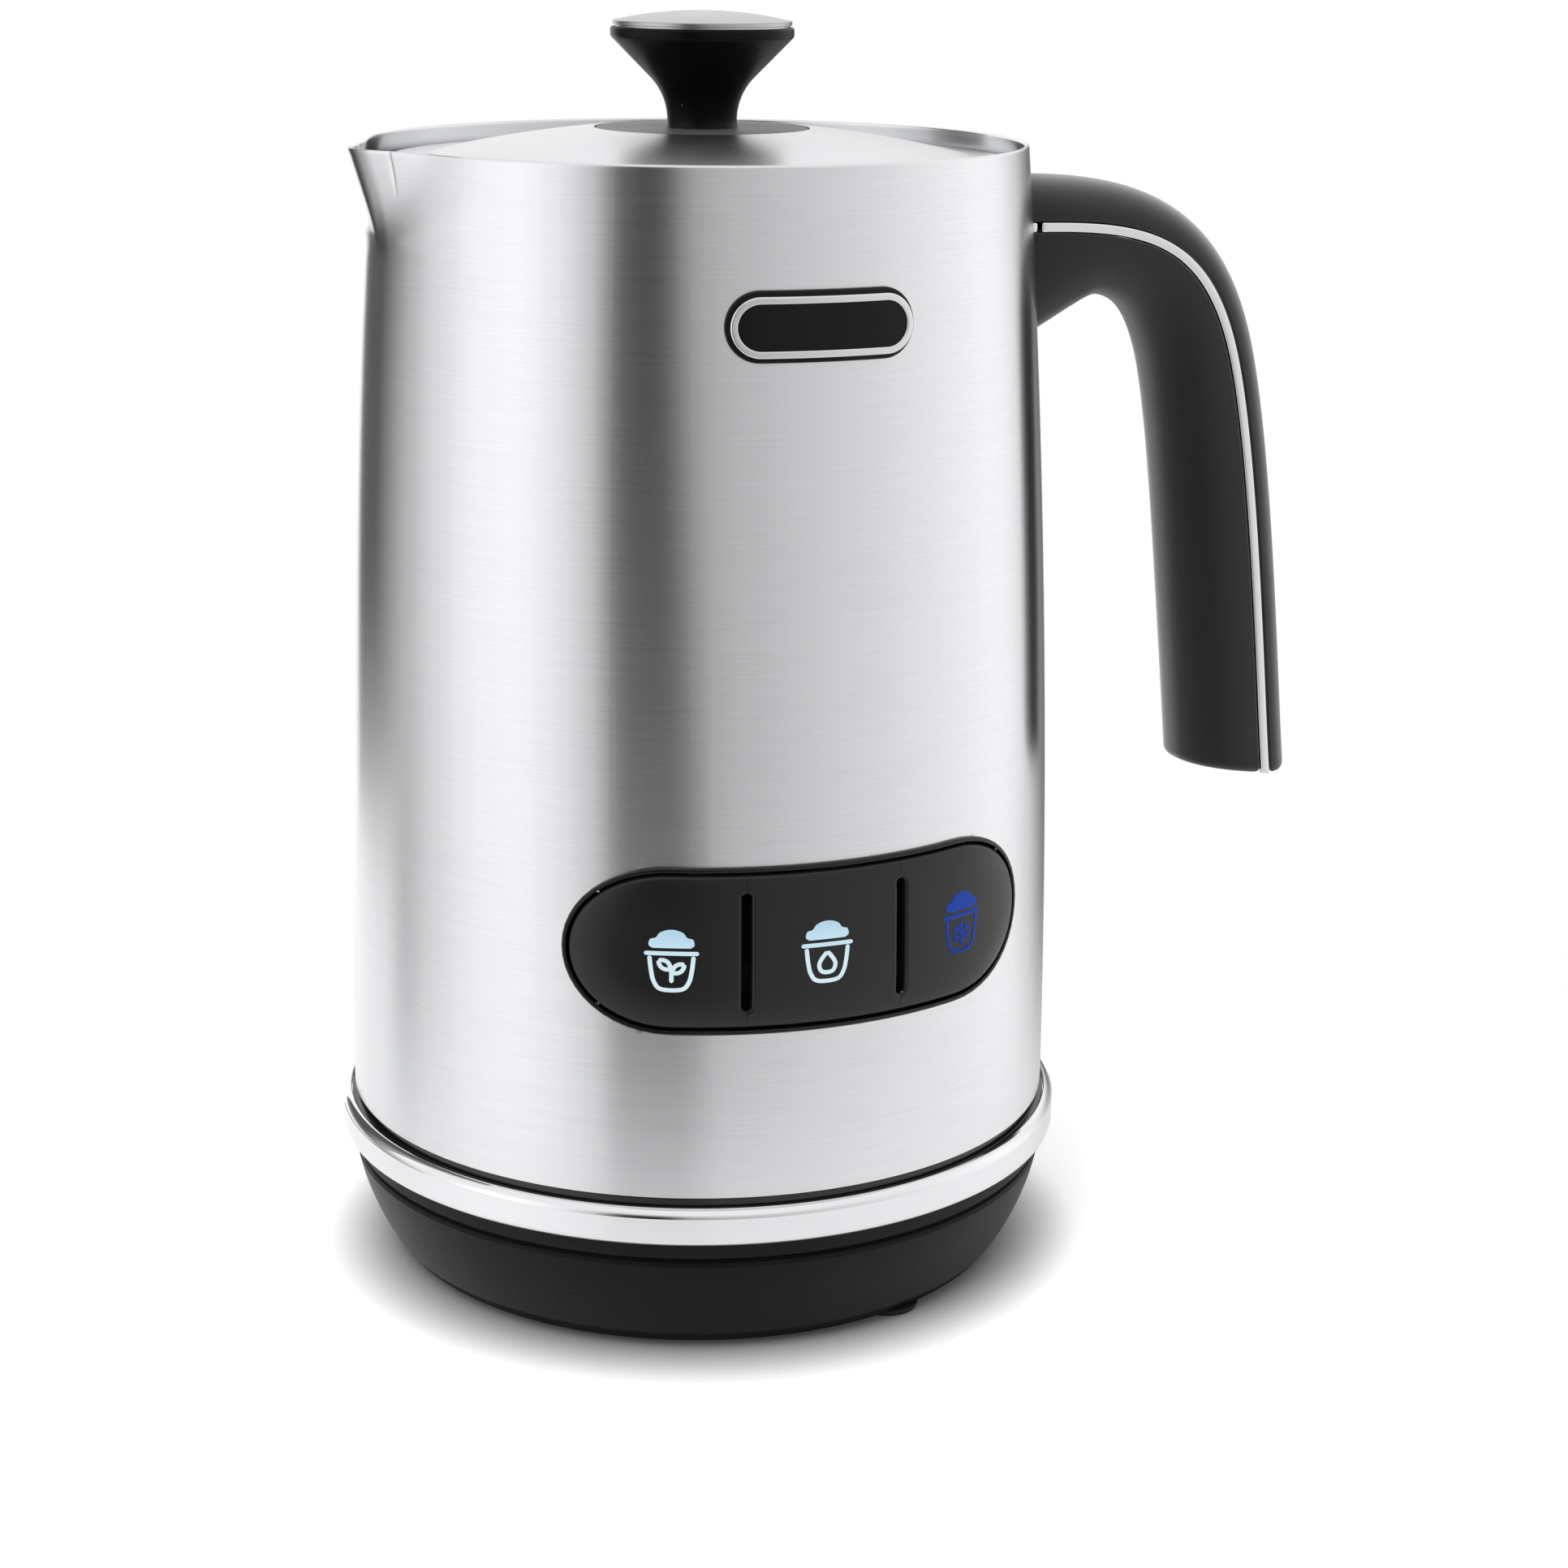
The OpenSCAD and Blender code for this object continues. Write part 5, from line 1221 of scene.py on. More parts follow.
FOAM_SIDE = ((-2.85, 2.0), (-3.4, 2.45), (-3.2, 3.35), (-2.35, 3.65), (-1.75, 4.4), (-0.6, 4.85))
FOAM = FOAM_SIDE + tuple((-x, z) for x, z in FOAM_SIDE[::-1])


@dataclass(frozen=True)
class Badge:
    """Badge on the wall: a black plate, a raised silver frame and a bare field."""

    length: float = 29.8 * MM
    height: float = 10.5 * MM
    border: float = 0.8 * MM
    frame_w: float = 1.1 * MM
    out: float = 1.8 * MM

    @property
    def mid_z(self) -> float:
        """Height of the badge's middle."""
        _, _, low, _, _, high = bounds_mm("badge_plate")
        return (low + high) / 2 * MM

    def plate(self) -> bpy.types.Mesh:
        """Builds the plate: a flat step with a round edge."""
        section = capped(0, self.out / MM - 0.9, 0.06, self.height / MM / 2, 0.4)
        return pill_mesh("badge_back", self.length, self.height, section, self.mid_z, False)

    def field(self) -> bpy.types.Mesh:
        """Builds the bare field inside the frame."""
        inset, top = (self.border + self.frame_w) / MM - 0.05, self.out / MM - 0.35
        section = capped(inset, top, top - 1, self.height / MM / 2, 0.15)
        return pill_mesh("badge_field", self.length, self.height, section, self.mid_z, False)

    def frame(self) -> bpy.types.Mesh:
        """Builds the silver frame: a closed section with round edges."""
        a, b, top = self.border / MM, (self.border + self.frame_w) / MM, self.out / MM
        section = rounded([(a, top - 0.95, 0.02), (a, top, 0.3), (b, top, 0.25), (b, top - 0.95, 0.02)], 7)
        return pill_mesh("badge_rim", self.length, self.height, section, self.mid_z, True)


PANEL = KeyPanel()
SIGNS: tuple[tuple[Sign, Lit], ...] = (
    (Sign("sprout_sign", "left_key", -23.8 * MM, 68.0 * MM, tuple(cup() + sprout()), FOAM),
     Lit("sign_sprout", (0.66, 0.82, 0.88, 1.0), 0.4, (0.46, 0.68, 0.82, 1.0), 0.0672, 0.0722, 1.0)),
    (Sign("drop_sign", "middle_key", -0.2 * MM, 68.5 * MM, tuple(cup() + drop()), FOAM),
     Lit("sign_drop", (0.66, 0.82, 0.88, 1.0), 0.4, (0.46, 0.68, 0.82, 1.0), 0.0677, 0.0727, 1.0)),
    (Sign("snow_sign", "right_key", 24.6 * MM, 69.0 * MM, tuple(cup()), FOAM, tuple(snowflake())),
     Lit("sign_snow", (0.006, 0.028, 0.26, 1.0), 0.4, (0.01, 0.05, 0.36, 1.0), 0.064, 0.074, 1.0)),
)


# ---- The handle ----


@dataclass(frozen=True)
class Handle:
    """Open handle: two black shells with a bright band between them, on a path of two cubic stretches."""

    drop: float = 13.45
    reach: float = 34.2
    fall: float = 21.8
    lean: float = 11.1
    length: float = 98.5
    width: float = 19.6
    grip_in: float = 14.5
    grip_out: float = 5.4
    band_t: float = 1.9
    sunk: float = 3.0
    root_depth: float = 23.2
    end_slope: float = 0.28
    arch_pull: tuple[float, float] = (0.52, 1.04)
    grip_pull: tuple[float, float] = (0.25, 0.14)
    knuckle_way: tuple[float, float] = (0.302, -0.953)
    end_way: tuple[float, float] = (0.144, -0.99)
    groove: float = 0.06
    corner: float = 0.3
    end_r: float = 1.1
    wall_gap: float = 0.1
    break_at: tuple[float, float] = (2.1, 3.0)
    band_end_r: float = 0.3

    def stretches(self) -> tuple[Array, Array]:
        """Control points of the arch from the wall to the knuckle and of the grip below it, as X and Z."""
        z = BODY.rim_z / MM - self.drop
        start = np.array([float(BODY.radius(z * MM)) / MM - self.sunk, z])
        knuckle = np.array([BODY.belly_r / MM + self.reach, z - self.fall])
        end = np.array([knuckle[0] + self.lean, z - self.length])
        down, out = np.array(self.knuckle_way), np.array(self.end_way)
        run, rest = self.arch_pull[0] * (knuckle[0] - start[0]), self.length - self.fall
        arch = np.stack([start, start + (run, 0), knuckle - self.arch_pull[1] * self.fall * down, knuckle])
        grip = np.stack([knuckle, knuckle + self.grip_pull[0] * rest * down, end - self.grip_pull[1] * rest * out, end])
        return arch, grip

    def end_speed(self) -> float:
        """Millimetres that the path runs per unit of u at the grip's end."""
        _, grip = self.stretches()
        return 2 * 3 * np.linalg.norm(grip[3] - grip[2])

    def path(self, u: Array) -> tuple[Array, Array]:
        """Point and direction of the band's outer face at u, from 0 inside the wall to 1 at the grip's end.

        Each stretch is (1-t)^3 a + 3 (1-t)^2 t b + 3 (1-t) t^2 c + t^3 d.
        """
        arch, grip = self.stretches()
        t = np.where(u < 0.5, 2 * u, 2 * u - 1)[..., None]
        a, b, c, d = (np.where((u < 0.5)[..., None], arch[k], grip[k]) for k in range(4))
        p = (1 - t) ** 3 * a + 3 * (1 - t) ** 2 * t * b + 3 * (1 - t) * t**2 * c + t**3 * d
        way = (1 - t) ** 2 * (b - a) + 2 * (1 - t) * t * (c - b) + t**2 * (d - c)
        return p, unit(way)

    def point(self, u: Array, off: Array, side: Array) -> Array:
        """Point off the path: off is outward from the band and side is along Y.

        Towards the grip's end the inner side is drawn back, so that the end slopes.
        """
        p, way = self.path(u)
        back = np.maximum(0, -off) * self.end_slope * ease(0.8, 1, u)
        x = p[..., 0] - way[..., 1] * off - way[..., 0] * back
        z = p[..., 1] + way[..., 0] * off - way[..., 1] * back
        return np.stack([x, side + 0 * x, z], -1) * MM

    def half_width(self, u: Array) -> Array:
        """Half the handle's width."""
        return self.width / 2 - 0.45 * (1 - ease(0, 0.5, u))

    def depth(self, u: Array, inner: bool) -> Array:
        """Depth of a shell, measured from the band."""
        if not inner:
            return self.grip_out + 1.7 * (1 - ease(0, 0.58, u))
        root = self.root_depth * (1 - u / 0.356)
        return soft_max(root, self.grip_in - 2.7 * (1 - ease(0.15, 0.8, u)), 1.5) - self.band_t

    def shell_point(self, u: Array, t: Array, base: Array, inner: bool, inset: Array) -> Array:
        """Point of a shell's section.

        For t from 0 to 1 the section is a rounded arch: side -w cos(pi t)^e and height d sin(pi t)^e
        over the band. The arch's sides turn in to a flat base with a fillet, and for t from 1 to 2
        the section runs back along the base. An inset moves all of it inward.

        Args:
            u: place on the path.
            t: place on the section.
            base: gap between the band and the shell.
            inner: whether it is the shell on the jug's side.
            inset: how far the section is moved inward.

        Returns:
            The point.
        """
        e = 0.86 if inner else 0.9
        turn = np.clip(t, 0, 1) * math.pi
        w = self.half_width(u) - inset
        d = self.depth(u, inner) - base - 2 * inset
        arch_side = -w * np.sign(np.cos(turn)) * np.abs(np.cos(turn)) ** e
        rise = d * np.maximum(np.sin(turn), 0) ** e
        low = np.clip(self.corner - rise, 0, self.corner)
        tuck = self.corner - np.sqrt(np.maximum(self.corner**2 - low**2, 0))
        arch_side = arch_side * (1 - tuck / w)
        flat_side = (w - self.corner) * (1 - 2 * np.clip(t - 1, 0, 1))
        side = np.where(t <= 1, arch_side, flat_side)
        off = np.where(t <= 1, rise, 0) + base + inset
        off = -self.band_t - off if inner else off
        return self.point(u, off, side)

    def start(self, line: Callable[[Array], Array], high: float = 0.24) -> Array:
        """Place on the path at which each line of a section leaves the wall, by halving the interval."""
        gap = self.wall_gap * MM

        def outside(u: Array) -> Array:
            """Whether the lines are clear of the wall at u."""
            p = line(u)
            return np.hypot(p[..., 0], p[..., 1]) - BODY.radius(p[..., 2]) - gap > 0

        shape = line(np.zeros(1)).shape[0]
        a, b = np.zeros(shape), np.full(shape, high)
        for _ in range(40):
            mid = (a + b) / 2
            out = outside(mid)
            a, b = np.where(out, a, mid), np.where(out, mid, b)
        return b

    def carried(self, name: str, section: Callable[[Array, Array], Array], first: Array,
                rows: Array) -> bpy.types.Mesh:
        """Mesh of a section carried along the path, closed at the wall and rounded at the grip's end.

        The last rows follow a quarter circle: the section moves on by r sin f and in by r (1 - cos f).

        Args:
            name: name of the mesh.
            section: point of the section by place on the path and inset.
            first: place at which each of the section's lines starts.
            rows: shares of the way from there to the start of the rounded end.

        Returns:
            The mesh.
        """
        speed = self.end_speed()
        f = np.radians(np.linspace(0, 90, 8))[:, None]
        stop = 1 - self.end_r / speed
        u = first[None] + (stop - first[None]) * rows[:, None]
        u = np.concatenate([u, stop + self.end_r / speed * np.sin(f[1:]) + 0 * first[None]])
        inset = np.concatenate([np.zeros((len(rows), 1)), self.end_r * (1 - np.cos(f[1:]))])
        return Net().rod(section(u, inset + 0 * u)).mesh(name, 50)

    def shell(self, name: str, inner: bool) -> bpy.types.Mesh:
        """Builds one of the two black shells."""
        rise = np.array([0, 0.04, 0.12, 0.22, 0.34, 0.45, 0.6]) / (12 if inner else 6)
        low = np.arcsin(rise ** (1 / (0.8 if inner else 0.9))) / math.pi
        t = np.unique(np.concatenate([low, np.linspace(low[-1], 0.5, 24)]))
        t = np.concatenate([t, 1 - t[-2::-1]])
        t = np.concatenate([t, np.linspace(1, 2, 12)[1:-1]])
        first = self.start(lambda u: self.shell_point(u * np.ones_like(t), t, self.groove, inner, 0 * t))
        return self.carried(name, lambda u, e: self.shell_point(u, t[None], self.groove, inner, e), first,
                            np.linspace(0, 1, 150))

    def band_point(self, u: Array, t: Array, inset: Array) -> Array:
        """Point of the band's section: a flat rectangle with round sides, t from 0 to 1 once round it."""
        w = self.half_width(u) + 0.2 - inset
        h = self.band_t / 2 - inset
        a = 2 * math.pi * t
        side = w * np.sign(np.cos(a)) * np.abs(np.cos(a)) ** 0.12
        off = h * np.sign(np.sin(a)) * np.abs(np.sin(a)) ** 0.35
        return self.point(u, off - self.band_t / 2, side)

    def band(self) -> bpy.types.Mesh:
        """Builds the bright band in two pieces, with a short gap near the wall."""
        t = np.linspace(0, 1, 48, endpoint=False)
        arch, _ = self.stretches()
        per_mm = 1 / (6 * np.linalg.norm(arch[1] - arch[0]))
        gap_from, gap_to = ((self.sunk + v) * per_mm for v in self.break_at)
        first = self.start(lambda u: self.band_point(u * np.ones_like(t), t, 0 * t))
        net = Net()
        f = np.radians(np.linspace(0, 90, 5))[1:]
        r, speed = self.band_end_r, self.end_speed()
        stub = first[None] + (gap_from - r * per_mm - first[None]) * np.linspace(0, 1, 6)[:, None]
        stub = np.concatenate([stub, gap_from - r * per_mm * (1 - np.sin(f))[:, None] + 0 * first[None]])
        stub_in = np.concatenate([np.zeros(6), r * (1 - np.cos(f))])[:, None] + 0 * first[None]
        main_u = np.concatenate([gap_to + r * per_mm * (1 - np.sin(f[::-1])),
                                 np.linspace(gap_to + r * per_mm, 1 - r / speed, 150),
                                 1 - r / speed * (1 - np.sin(f))])[:, None] + 0 * first[None]
        main_in = np.concatenate([r * (1 - np.cos(f[::-1])), np.zeros(150), r * (1 - np.cos(f))])
        main_in = main_in[:, None] + 0 * first[None]
        for u, inset in ((stub, stub_in), (main_u, main_in)):
            net.rod(self.band_point(u, t[None], inset))
        return net.mesh("handle_line", 50)


# ---- The lid ----


@dataclass(frozen=True)
class Lid:
    """Domed steel cover, dark disc, flared knob and steel cap, all turned about the jug's axis."""

    turns: int = 288
    dome_r: float = 190.0
    border: float = 8.7
    border_drop: float = 2.8
    hem: float = 2.4
    hem_r: float = 1.1
    hole_r: float = 2.4
    disc_gap: float = 0.22
    sheet: float = 0.8
    throat_r: float = 9.5
    neck_r: float = 5.55
    knob_r: float = 14.6
    bore_r: float = 1.85
    bore_depth: float = 9.0

    def dome(self, r: Array, off: float) -> Array:
        """Profile of the dome: a ball of the dome's radius about a point on the axis, moved up by off."""
        disc_low, disc_r = bounds_mm("lid_disc")[2:4]
        top = disc_low + 0.7 + self.dome_r - math.sqrt(self.dome_r**2 - disc_r**2)
        return np.stack([r, top - self.dome_r + np.sqrt(self.dome_r**2 - r**2) + off], 1)

    def cover(self) -> bpy.types.Mesh:
        """Builds the cover: pan under the disc, dome, narrow flat border and a rolled edge."""
        low, r = bounds_mm("lid_cover")[2:4]
        disc_low, disc_r = bounds_mm("lid_disc")[2:4]
        dome_r = BODY.rim_r / MM - self.border
        border_z = BODY.rim_z / MM - self.border_drop
        dome = self.dome(np.linspace(disc_r + self.disc_gap, dome_r - 0.5, 70), 0)
        under = self.dome(np.linspace(disc_r + self.sheet, dome_r - 0.6, 30), -self.sheet)
        roll = arc((r, border_z - self.hem_r), (r - self.hem_r, border_z), self.hem_r, 9)[::-1] / MM
        foot = dome[-1]
        blend_t = np.linspace(0, 1, 9)[1:, None]
        ahead = np.array([dome_r + 0.6, border_z])
        mid = np.array([dome_r, border_z + 0.02])
        blend = (1 - blend_t) ** 2 * foot + 2 * (1 - blend_t) * blend_t * mid + blend_t**2 * ahead
        edge = np.array([[r, border_z - self.hem], [r - 0.9, border_z - self.hem], [r - 0.9, border_z - self.sheet]])
        pan = np.array([[disc_r + self.disc_gap, disc_low], [self.hole_r, disc_low], [self.hole_r, low],
                        [disc_r + 0.1, low]])
        profile = np.concatenate([dome, blend, roll, edge, under[::-1], pan[::-1]])
        return ring_mesh("lid_dome", profile * MM, self.turns, 35)

    def disc(self) -> bpy.types.Mesh:
        """Builds the disc round the knob, with a round upper edge."""
        _, _, z0, r, _, z1 = bounds_mm("lid_disc")
        profile = rounded([(self.hole_r, z0, 0.05), (self.hole_r, z1, 0.05), (r - 0.02, z1, 0.3),
                           (r - 0.02, z0, 0.05)], 7)
        return ring_mesh("lid_plate", profile, self.turns, 40)

    def knob(self) -> bpy.types.Mesh:
        """Builds the knob: neck, throat arc, straight flare at 45 degrees and a rounded edge."""
        z0, z1 = bounds_mm("knob")[2], bounds_mm("knob")[5]
        t = np.radians(np.linspace(0, 45, 24))
        throat = np.stack([self.neck_r + self.throat_r * (1 - np.cos(t)), z0 + 1.1 + self.throat_r * np.sin(t)], 1)
        flare_r = self.knob_r - 0.7
        flare_z = throat[-1, 1] + flare_r - throat[-1, 0]
        lip = rounded([(throat[-1, 0], throat[-1, 1], 0.0), (self.knob_r, flare_z + 0.72, 0.75),
                       (self.knob_r, z1, 0.45), (self.knob_r - 2, z1, 0.0)], 9)[9:27] / MM
        lip = lip[np.argsort(lip[:, 1], kind="stable")]
        foot = np.array([[self.bore_r, z0 + self.bore_depth], [self.bore_r, z0], [self.neck_r + 0.25, z0],
                         [self.neck_r + 0.05, z0 + 0.3]])
        top = np.array([[self.knob_r - 3, z1], [self.bore_r, z1]])
        flare = throat[-1] + np.linspace(0, 1, 12)[1:-1, None] * (np.array([flare_r, flare_z]) - throat[-1])
        profile = np.concatenate([foot, throat, flare, lip, top]) * MM
        return ring_mesh("lid_grip", profile, 256, 40)

    def cap(self) -> bpy.types.Mesh:
        """Builds the cap: a shallow dome, a short upright side and a groove under it."""
        z0, z1 = bounds_mm("knob_cap")[2], bounds_mm("knob_cap")[5]
        r, groove = self.knob_r - 0.35, 0.3
        edge = z0 + 0.9
        rise = z1 - edge
        ball = (r * r + rise * rise) / (2 * rise)
        x = np.linspace(r - 0.35, 0.02, 40)
        dome = np.stack([x, z1 - ball + np.sqrt(ball**2 - x**2)], 1)
        side = rounded([(r - groove, z0 + groove, 0.02), (r, z0 + groove, 0.1), (r, edge + 0.05, 0.25),
                        (dome[0, 0] - 0.4, dome[2, 1], 0.0)], 7)[:21] / MM
        profile = np.concatenate([[[0.02, z0], [r - groove, z0]], side, dome[1:]]) * MM
        return ring_mesh("lid_cap", profile, 256, 30)


# ---- Studio ----


@dataclass(frozen=True)
class Studio:
    """Pale floor, soft lights, the surroundings that the steel mirrors, and the camera."""

    camera_at: tuple[float, float, float] = (-0.16622, -0.47463, 0.22146)
    pitch: float = 15.811
    yaw: float = 1.627
    roll: float = 0.648
    turn: float = -19.3
    lens: float = 70.894
    floor_r: float = 0.6
    floor_fade: tuple[float, float] = (0.09, 0.22)
    floor_glow: float = 0.4
    # Reach and range of the ambient occlusion that paints a contact shadow into the floor's colour and glow.
    contact_shadow_reach: float = 0.014
    contact_shadow_range: tuple[float, float] = (0.25, 0.93)
    floor_mirrored: float = 0.3
    ground: float = 0.75
    ground_from: tuple[float, float] = (-0.24, -0.65)
    overhead_from: tuple[float, float] = (0.45, 0.75)
    backdrop: float = 1.1
    card_lean: float = 0.14
    card_ends: tuple[tuple[float, float], tuple[float, float]] = ((-0.126, 0.289), (-0.289, 0.185))
    card_z: tuple[float, float] = (0.001, 0.5)
    ambient: float = 0.35
    aim: tuple[float, float, float] = (0, 0, 0.1)

    # Brightness of the surroundings by direction: degrees from straight ahead, to the right
    surroundings: tuple[tuple[float, float], ...] = (
        (-180, 1.2), (-165, 1.25), (-142, 1.1), (-131, 0.52), (-123, 0.63), (-118, 0.8), (-106, 1.0), (-95, 1.2),
        (-79, 1.27), (-64, 1.06), (-52, 0.68), (-47, 0.3), (-43, 0.09), (-36, 0.035), (-31, 0.05), (-27, 0.16),
        (-21, 0.44), (-12, 0.55), (12, 0.7), (32, 0.82), (65, 1.04), (92, 1.2), (103, 1.15), (111, 0.98), (118, 0.82),
        (127, 0.5), (136, 0.25), (146, 0.16), (152, 0.7), (165, 1.1), (180, 1.2))

    def camera(self) -> None:
        """Makes the camera: its axes are turned by yaw, pitch and roll, and then with it about Z."""
        th, psi, rho, a = (math.radians(v) for v in (self.pitch, self.yaw, self.roll, self.turn))
        ahead = np.array([math.sin(psi) * math.cos(th), math.cos(psi) * math.cos(th), -math.sin(th)])
        level = np.array([math.cos(psi), -math.sin(psi), 0])
        up = np.array([math.sin(psi) * math.sin(th), math.cos(psi) * math.sin(th), math.cos(th)])
        right = level * math.cos(rho) + up * math.sin(rho)
        top = up * math.cos(rho) - level * math.sin(rho)
        about = np.array([[math.cos(a), -math.sin(a), 0], [math.sin(a), math.cos(a), 0], [0, 0, 1]])
        axes = (about @ np.stack([right, top, -ahead], 1)).tolist()
        data = bpy.data.cameras.new("camera")
        data.lens, data.sensor_width, data.clip_start = self.lens, 36, 0.02
        camera = bpy.data.objects.new("camera", data)
        camera.matrix_world = Matrix([row + [at] for row, at in zip(axes, self.camera_at)] + [[0, 0, 0, 1]])
        bpy.context.scene.collection.objects.link(camera)
        bpy.context.scene.camera = camera

    def world(self) -> None:
        """Lights the scene evenly, shows white to the camera, and shows the surroundings to gloss."""
        world = bpy.data.worlds.new("studio")
        bpy.context.scene.world = world
        world.use_nodes = True
        world.node_tree.nodes.clear()
        g = Graph(world.node_tree)
        split = g.add("ShaderNodeSeparateXYZ", {0: g.add("ShaderNodeTexCoord").outputs["Generated"]})
        x, y, z = split.outputs
        angle = g.math("ARCTAN2", x, g.math("MULTIPLY", y, -1.0))
        beside = g.math("MULTIPLY", g.remap(angle, -0.75, -0.5), g.remap(angle, 0.0, 0.4, 1.0, 0.0))
        lean = g.math("MULTIPLY", g.remap(z, 0.03, -0.21), self.card_lean)
        angle = g.math("SUBTRACT", angle, g.math("MULTIPLY", lean, beside))
        share = g.math("MULTIPLY_ADD", angle, 0.5 / math.pi, 0.5)
        ramp = g.add("ShaderNodeValToRGB", {"Fac": share})
        stops = ramp.color_ramp.elements
        top = max(b for _, b in self.surroundings)
        while len(stops) > 1:
            stops.remove(stops[-1])
        for k, (degrees, bright) in enumerate(self.surroundings):
            stop = stops[0] if k == 0 else stops.new((degrees + 180) / 360)
            stop.position = (degrees + 180) / 360
            stop.color = (bright / top,) * 3 + (1,)
        around = g.math("MULTIPLY", ramp.outputs["Color"], top)
        behind = g.math("MULTIPLY", g.remap(y, 0.1, 0.5), g.remap(z, 0.05, 0.3))
        around = g.between(behind, around, self.backdrop)
        around = g.between(g.remap(z, *self.ground_from), around, self.ground)
        gloss = g.between(g.remap(z, *self.overhead_from), around, 1.0)
        rays = g.add("ShaderNodeLightPath").outputs
        seen = g.math("MAXIMUM", rays["Is Camera Ray"], rays["Is Transmission Ray"])
        level = g.between(seen, g.between(rays["Is Glossy Ray"], self.ambient, gloss), 1.0)
        back = g.add("ShaderNodeBackground", {"Color": (1, 1, 1, 1), "Strength": level})
        g.add("ShaderNodeOutputWorld", {"Surface": back.outputs[0]})

    def floor(self) -> None:
        """Makes a round pale floor that keeps the shadow, has a contact shadow painted into its colour and glow by
        ambient occlusion near the jug, glows to white and fades out into the white around it.
        """
        p = turned(np.array([[0.0001, 0], [0.3, 0], [self.floor_r, 0]]), 96)
        mesh = bpy.data.meshes.new("floor")
        net = Net().grid(p, True)
        mesh.from_pydata(np.concatenate(net.points), [], np.concatenate(net.quads))
        floor = bpy.data.objects.new("floor", mesh)
        bpy.context.scene.collection.objects.link(floor)
        material, g = empty_material("floor")
        rays = g.add("ShaderNodeLightPath").outputs
        seen = g.math("MAXIMUM", rays["Is Camera Ray"], rays["Is Transmission Ray"])
        seen = g.math("MAXIMUM", seen, g.math("MULTIPLY", rays["Is Glossy Ray"], self.floor_mirrored))
        # Painted contact shadow: ambient occlusion from the jug darkens the floor's colour and its glow near the base.
        hidden = g.add("ShaderNodeAmbientOcclusion", {"Distance": self.contact_shadow_reach}, samples=16).outputs["AO"]
        open_air = g.remap(hidden, *self.contact_shadow_range, 0.1, 1.0)
        paper = g.add("ShaderNodeBsdfDiffuse", {"Color": g.blend(open_air, grey(0.08), grey(0.8))})
        shine = g.math("MULTIPLY", g.math("MULTIPLY", seen, open_air), self.floor_glow)
        glow = g.add("ShaderNodeEmission", {"Strength": shine})
        both = g.add("ShaderNodeAddShader", {0: paper.outputs[0], 1: glow.outputs[0]})
        far = g.add("ShaderNodeVectorMath", {0: g.here()}, operation="LENGTH").outputs["Value"]
        fade = g.remap(far, *self.floor_fade)
        clear = g.add("ShaderNodeBsdfTransparent")
        mixed = g.add("ShaderNodeMixShader", {0: fade, 1: both.outputs[0], 2: clear.outputs[0]})
        g.add("ShaderNodeOutputMaterial", {"Surface": mixed.outputs[0]})
        mesh.materials.append(material)

    def card(self) -> None:
        """Makes the dark card behind the jug's left edge, which only the gloss shows."""
        (a, b), (low, high) = self.card_ends, self.card_z
        mesh = bpy.data.meshes.new("card")
        mesh.from_pydata([(*a, low), (*b, low), (*b, high), (*a, high)], [], [(0, 1, 2, 3)])
        card = bpy.data.objects.new("card", mesh)
        bpy.context.scene.collection.objects.link(card)
        material, g = empty_material("card")
        along, _, z = g.add("ShaderNodeSeparateXYZ", {0: g.here()}).outputs
        light = g.math("MAXIMUM", g.remap(along, -0.21, b[0], 0.11, 0.5), g.remap(z, 0.07, 0.0, 0.0, 0.55))
        shine = g.add("ShaderNodeEmission", {"Strength": light})
        g.add("ShaderNodeOutputMaterial", {"Surface": shine.outputs[0]})
        mesh.materials.append(material)
        for ray in ("camera", "diffuse", "transmission", "shadow", "volume_scatter"):
            setattr(card, f"visible_{ray}", False)

    def lamp(self, name: str, at: Sequence[float], size: float, power: float) -> None:
        """Adds a soft square lamp, aimed at the jug, that the gloss doesn't mirror."""
        data = bpy.data.lights.new(name, "AREA")
        data.shape, data.size, data.energy = "SQUARE", size, power
        lamp = bpy.data.objects.new(name, data)
        toward = Vector(self.aim) - Vector(at)
        lamp.matrix_world = Matrix.Translation(at) @ toward.to_track_quat("-Z", "Y").to_matrix().to_4x4()
        lamp.visible_glossy = False
        lamp.visible_camera = False
        bpy.context.scene.collection.objects.link(lamp)

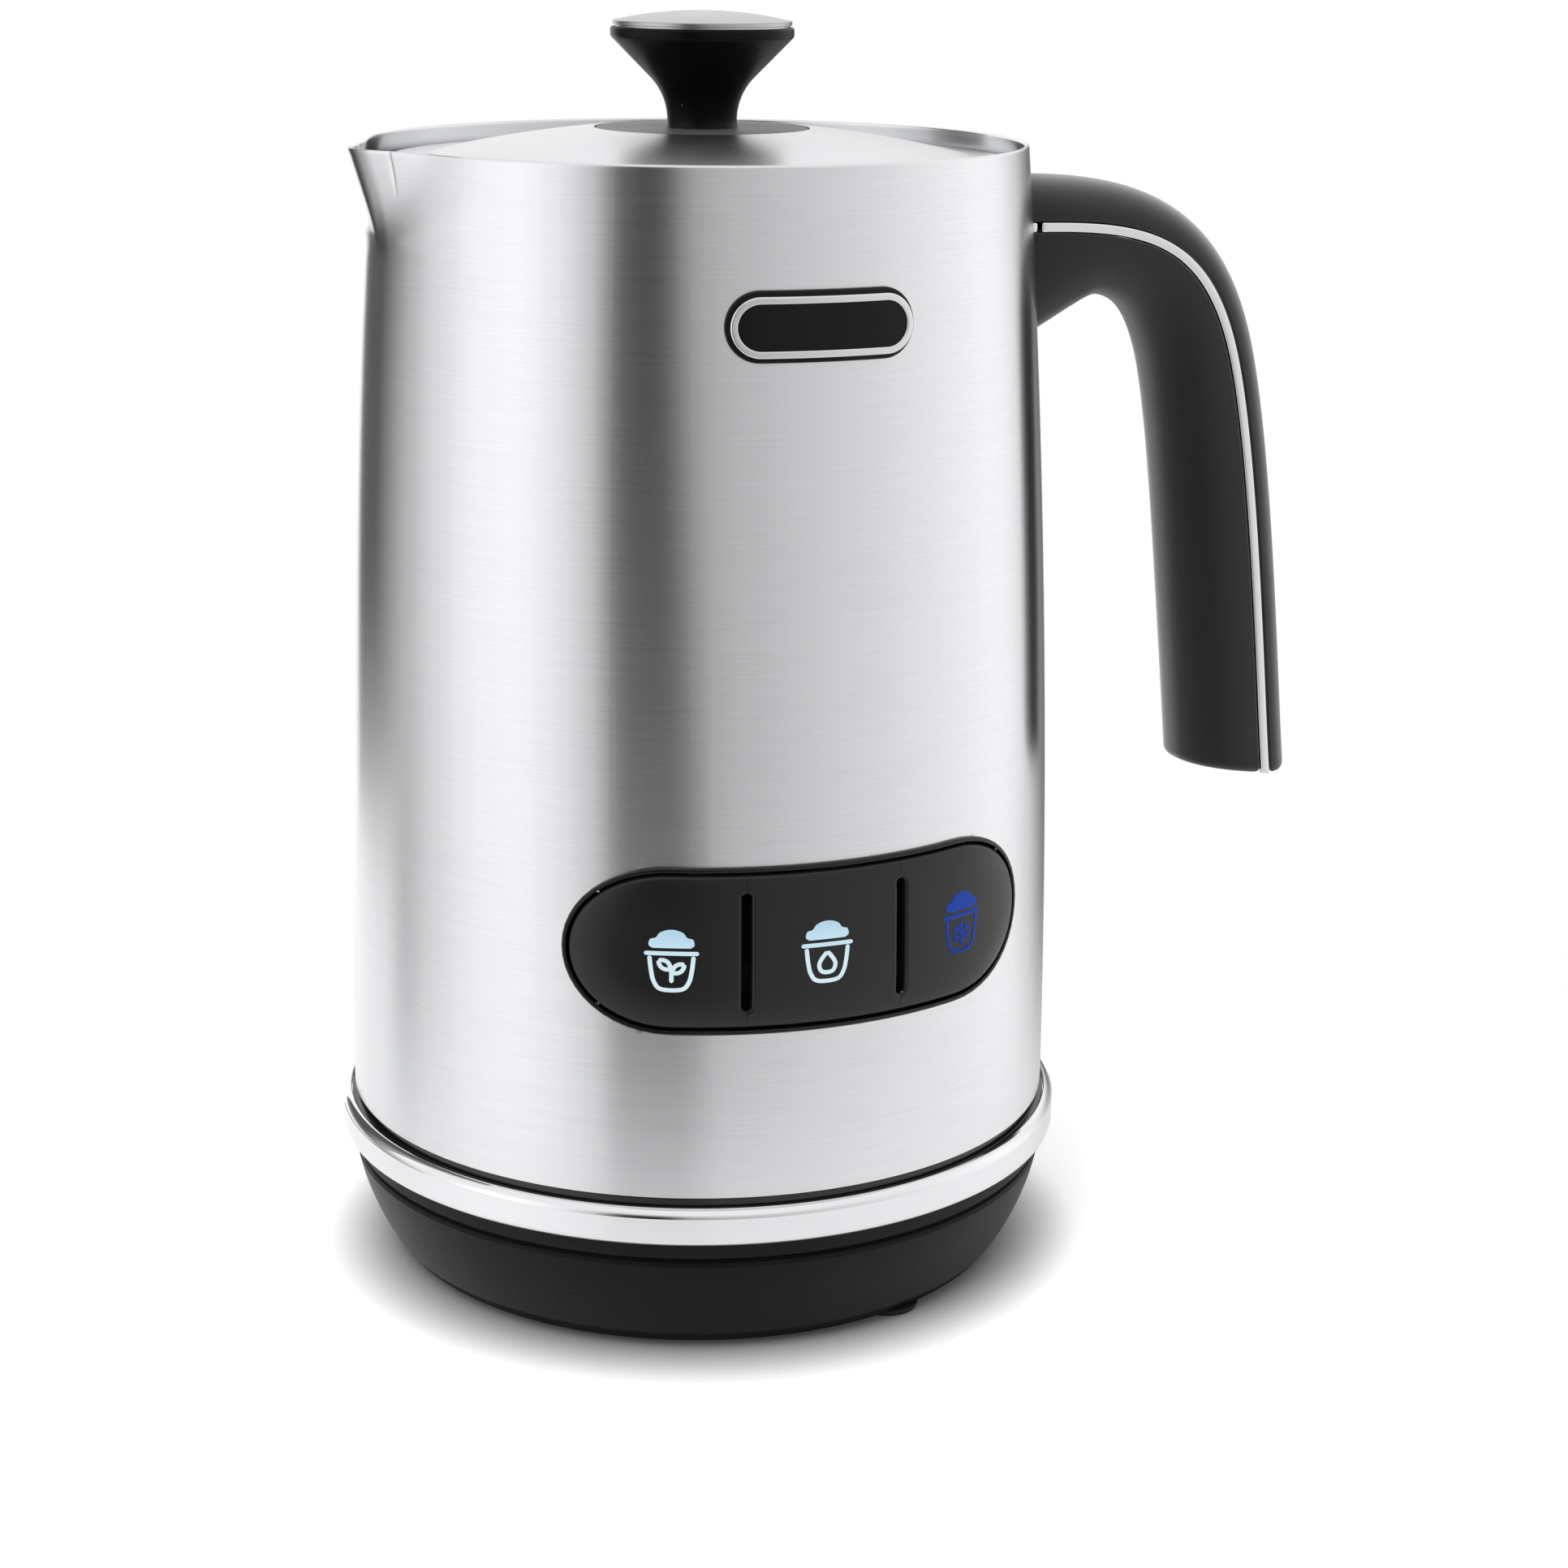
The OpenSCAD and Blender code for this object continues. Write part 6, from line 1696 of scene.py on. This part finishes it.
    def build(self) -> None:
        """Sets the whole studio and the plain view transform."""
        self.camera()
        self.world()
        self.floor()
        self.card()
        self.lamp("key", (-1.0, -0.9, 1.3), 1.0, 24)
        self.lamp("fill", (1.3, -0.7, 0.9), 1.0, 4)
        self.lamp("top", (0.1, 0.3, 1.8), 1.2, 10)
        self.lamp("back", (0.3, 1.4, 1.0), 1.2, 6)
        bpy.context.scene.view_settings.view_transform = "Standard"


# ---- The whole frother ----


def main() -> None:
    """Builds the studio, the finishes and every piece."""
    logging.basicConfig(level=logging.INFO, format="%(name)s: %(message)s")
    Studio().build()
    finish = Finishes()
    finish.dress_nodes()

    place(JugShell().mesh(), "jug", "steel", finish["steel"], ["jug_shell"])
    foot = JugFoot()
    place(foot.ring(), "jug", "bright_trim", finish["bright_trim"], ["ring_trim"])
    place(foot.seam(), "jug", "shell_black", finish["seam_black"])

    handle = Handle()
    place(handle.shell("handle_back_shell", False), "jug", "handle_black", finish["handle_black"], ["handle_outer"])
    place(handle.shell("handle_front_shell", True), "jug", "handle_black", finish["handle_black"], ["handle_inner"])
    place(handle.band(), "jug", "bright_trim", finish["bright_trim"], ["handle_band"])

    place(PANEL.bezel(), "jug", "panel_black", finish["panel_black"], ["panel_bezel"])
    for side, key in enumerate(("left", "middle", "right")):
        place(PANEL.key(side - 1), f"{key}_key", "key_black", finish["key_black"], [f"key_{key}"])
    for sign, light in SIGNS:
        place(sign.mesh(), sign.body, "key_black", light.material())

    badge = Badge()
    place(badge.plate(), "jug", "badge_black", finish["badge_black"], ["badge_plate"])
    place(badge.field(), "jug", "badge_black", finish["badge_black"])
    place(badge.frame(), "jug", "bright_trim", finish["badge_silver"], ["badge_frame"])

    lid = Lid()
    place(lid.cover(), "lid", "polished_steel", finish["polished_steel"], ["lid_cover"])
    place(lid.disc(), "lid", "disc_dark", finish["disc_dark"], ["lid_disc"])
    place(lid.knob(), "lid", "knob_black", finish["knob_black"], ["knob"])
    place(lid.cap(), "lid", "steel", finish["cap_steel"], ["knob_cap"])
    log.info("%d pieces carried over from the CAD model",
             sum(not node.hide_render for node in frame["nodes"].values()))


if __name__ == "__main__":
    main()
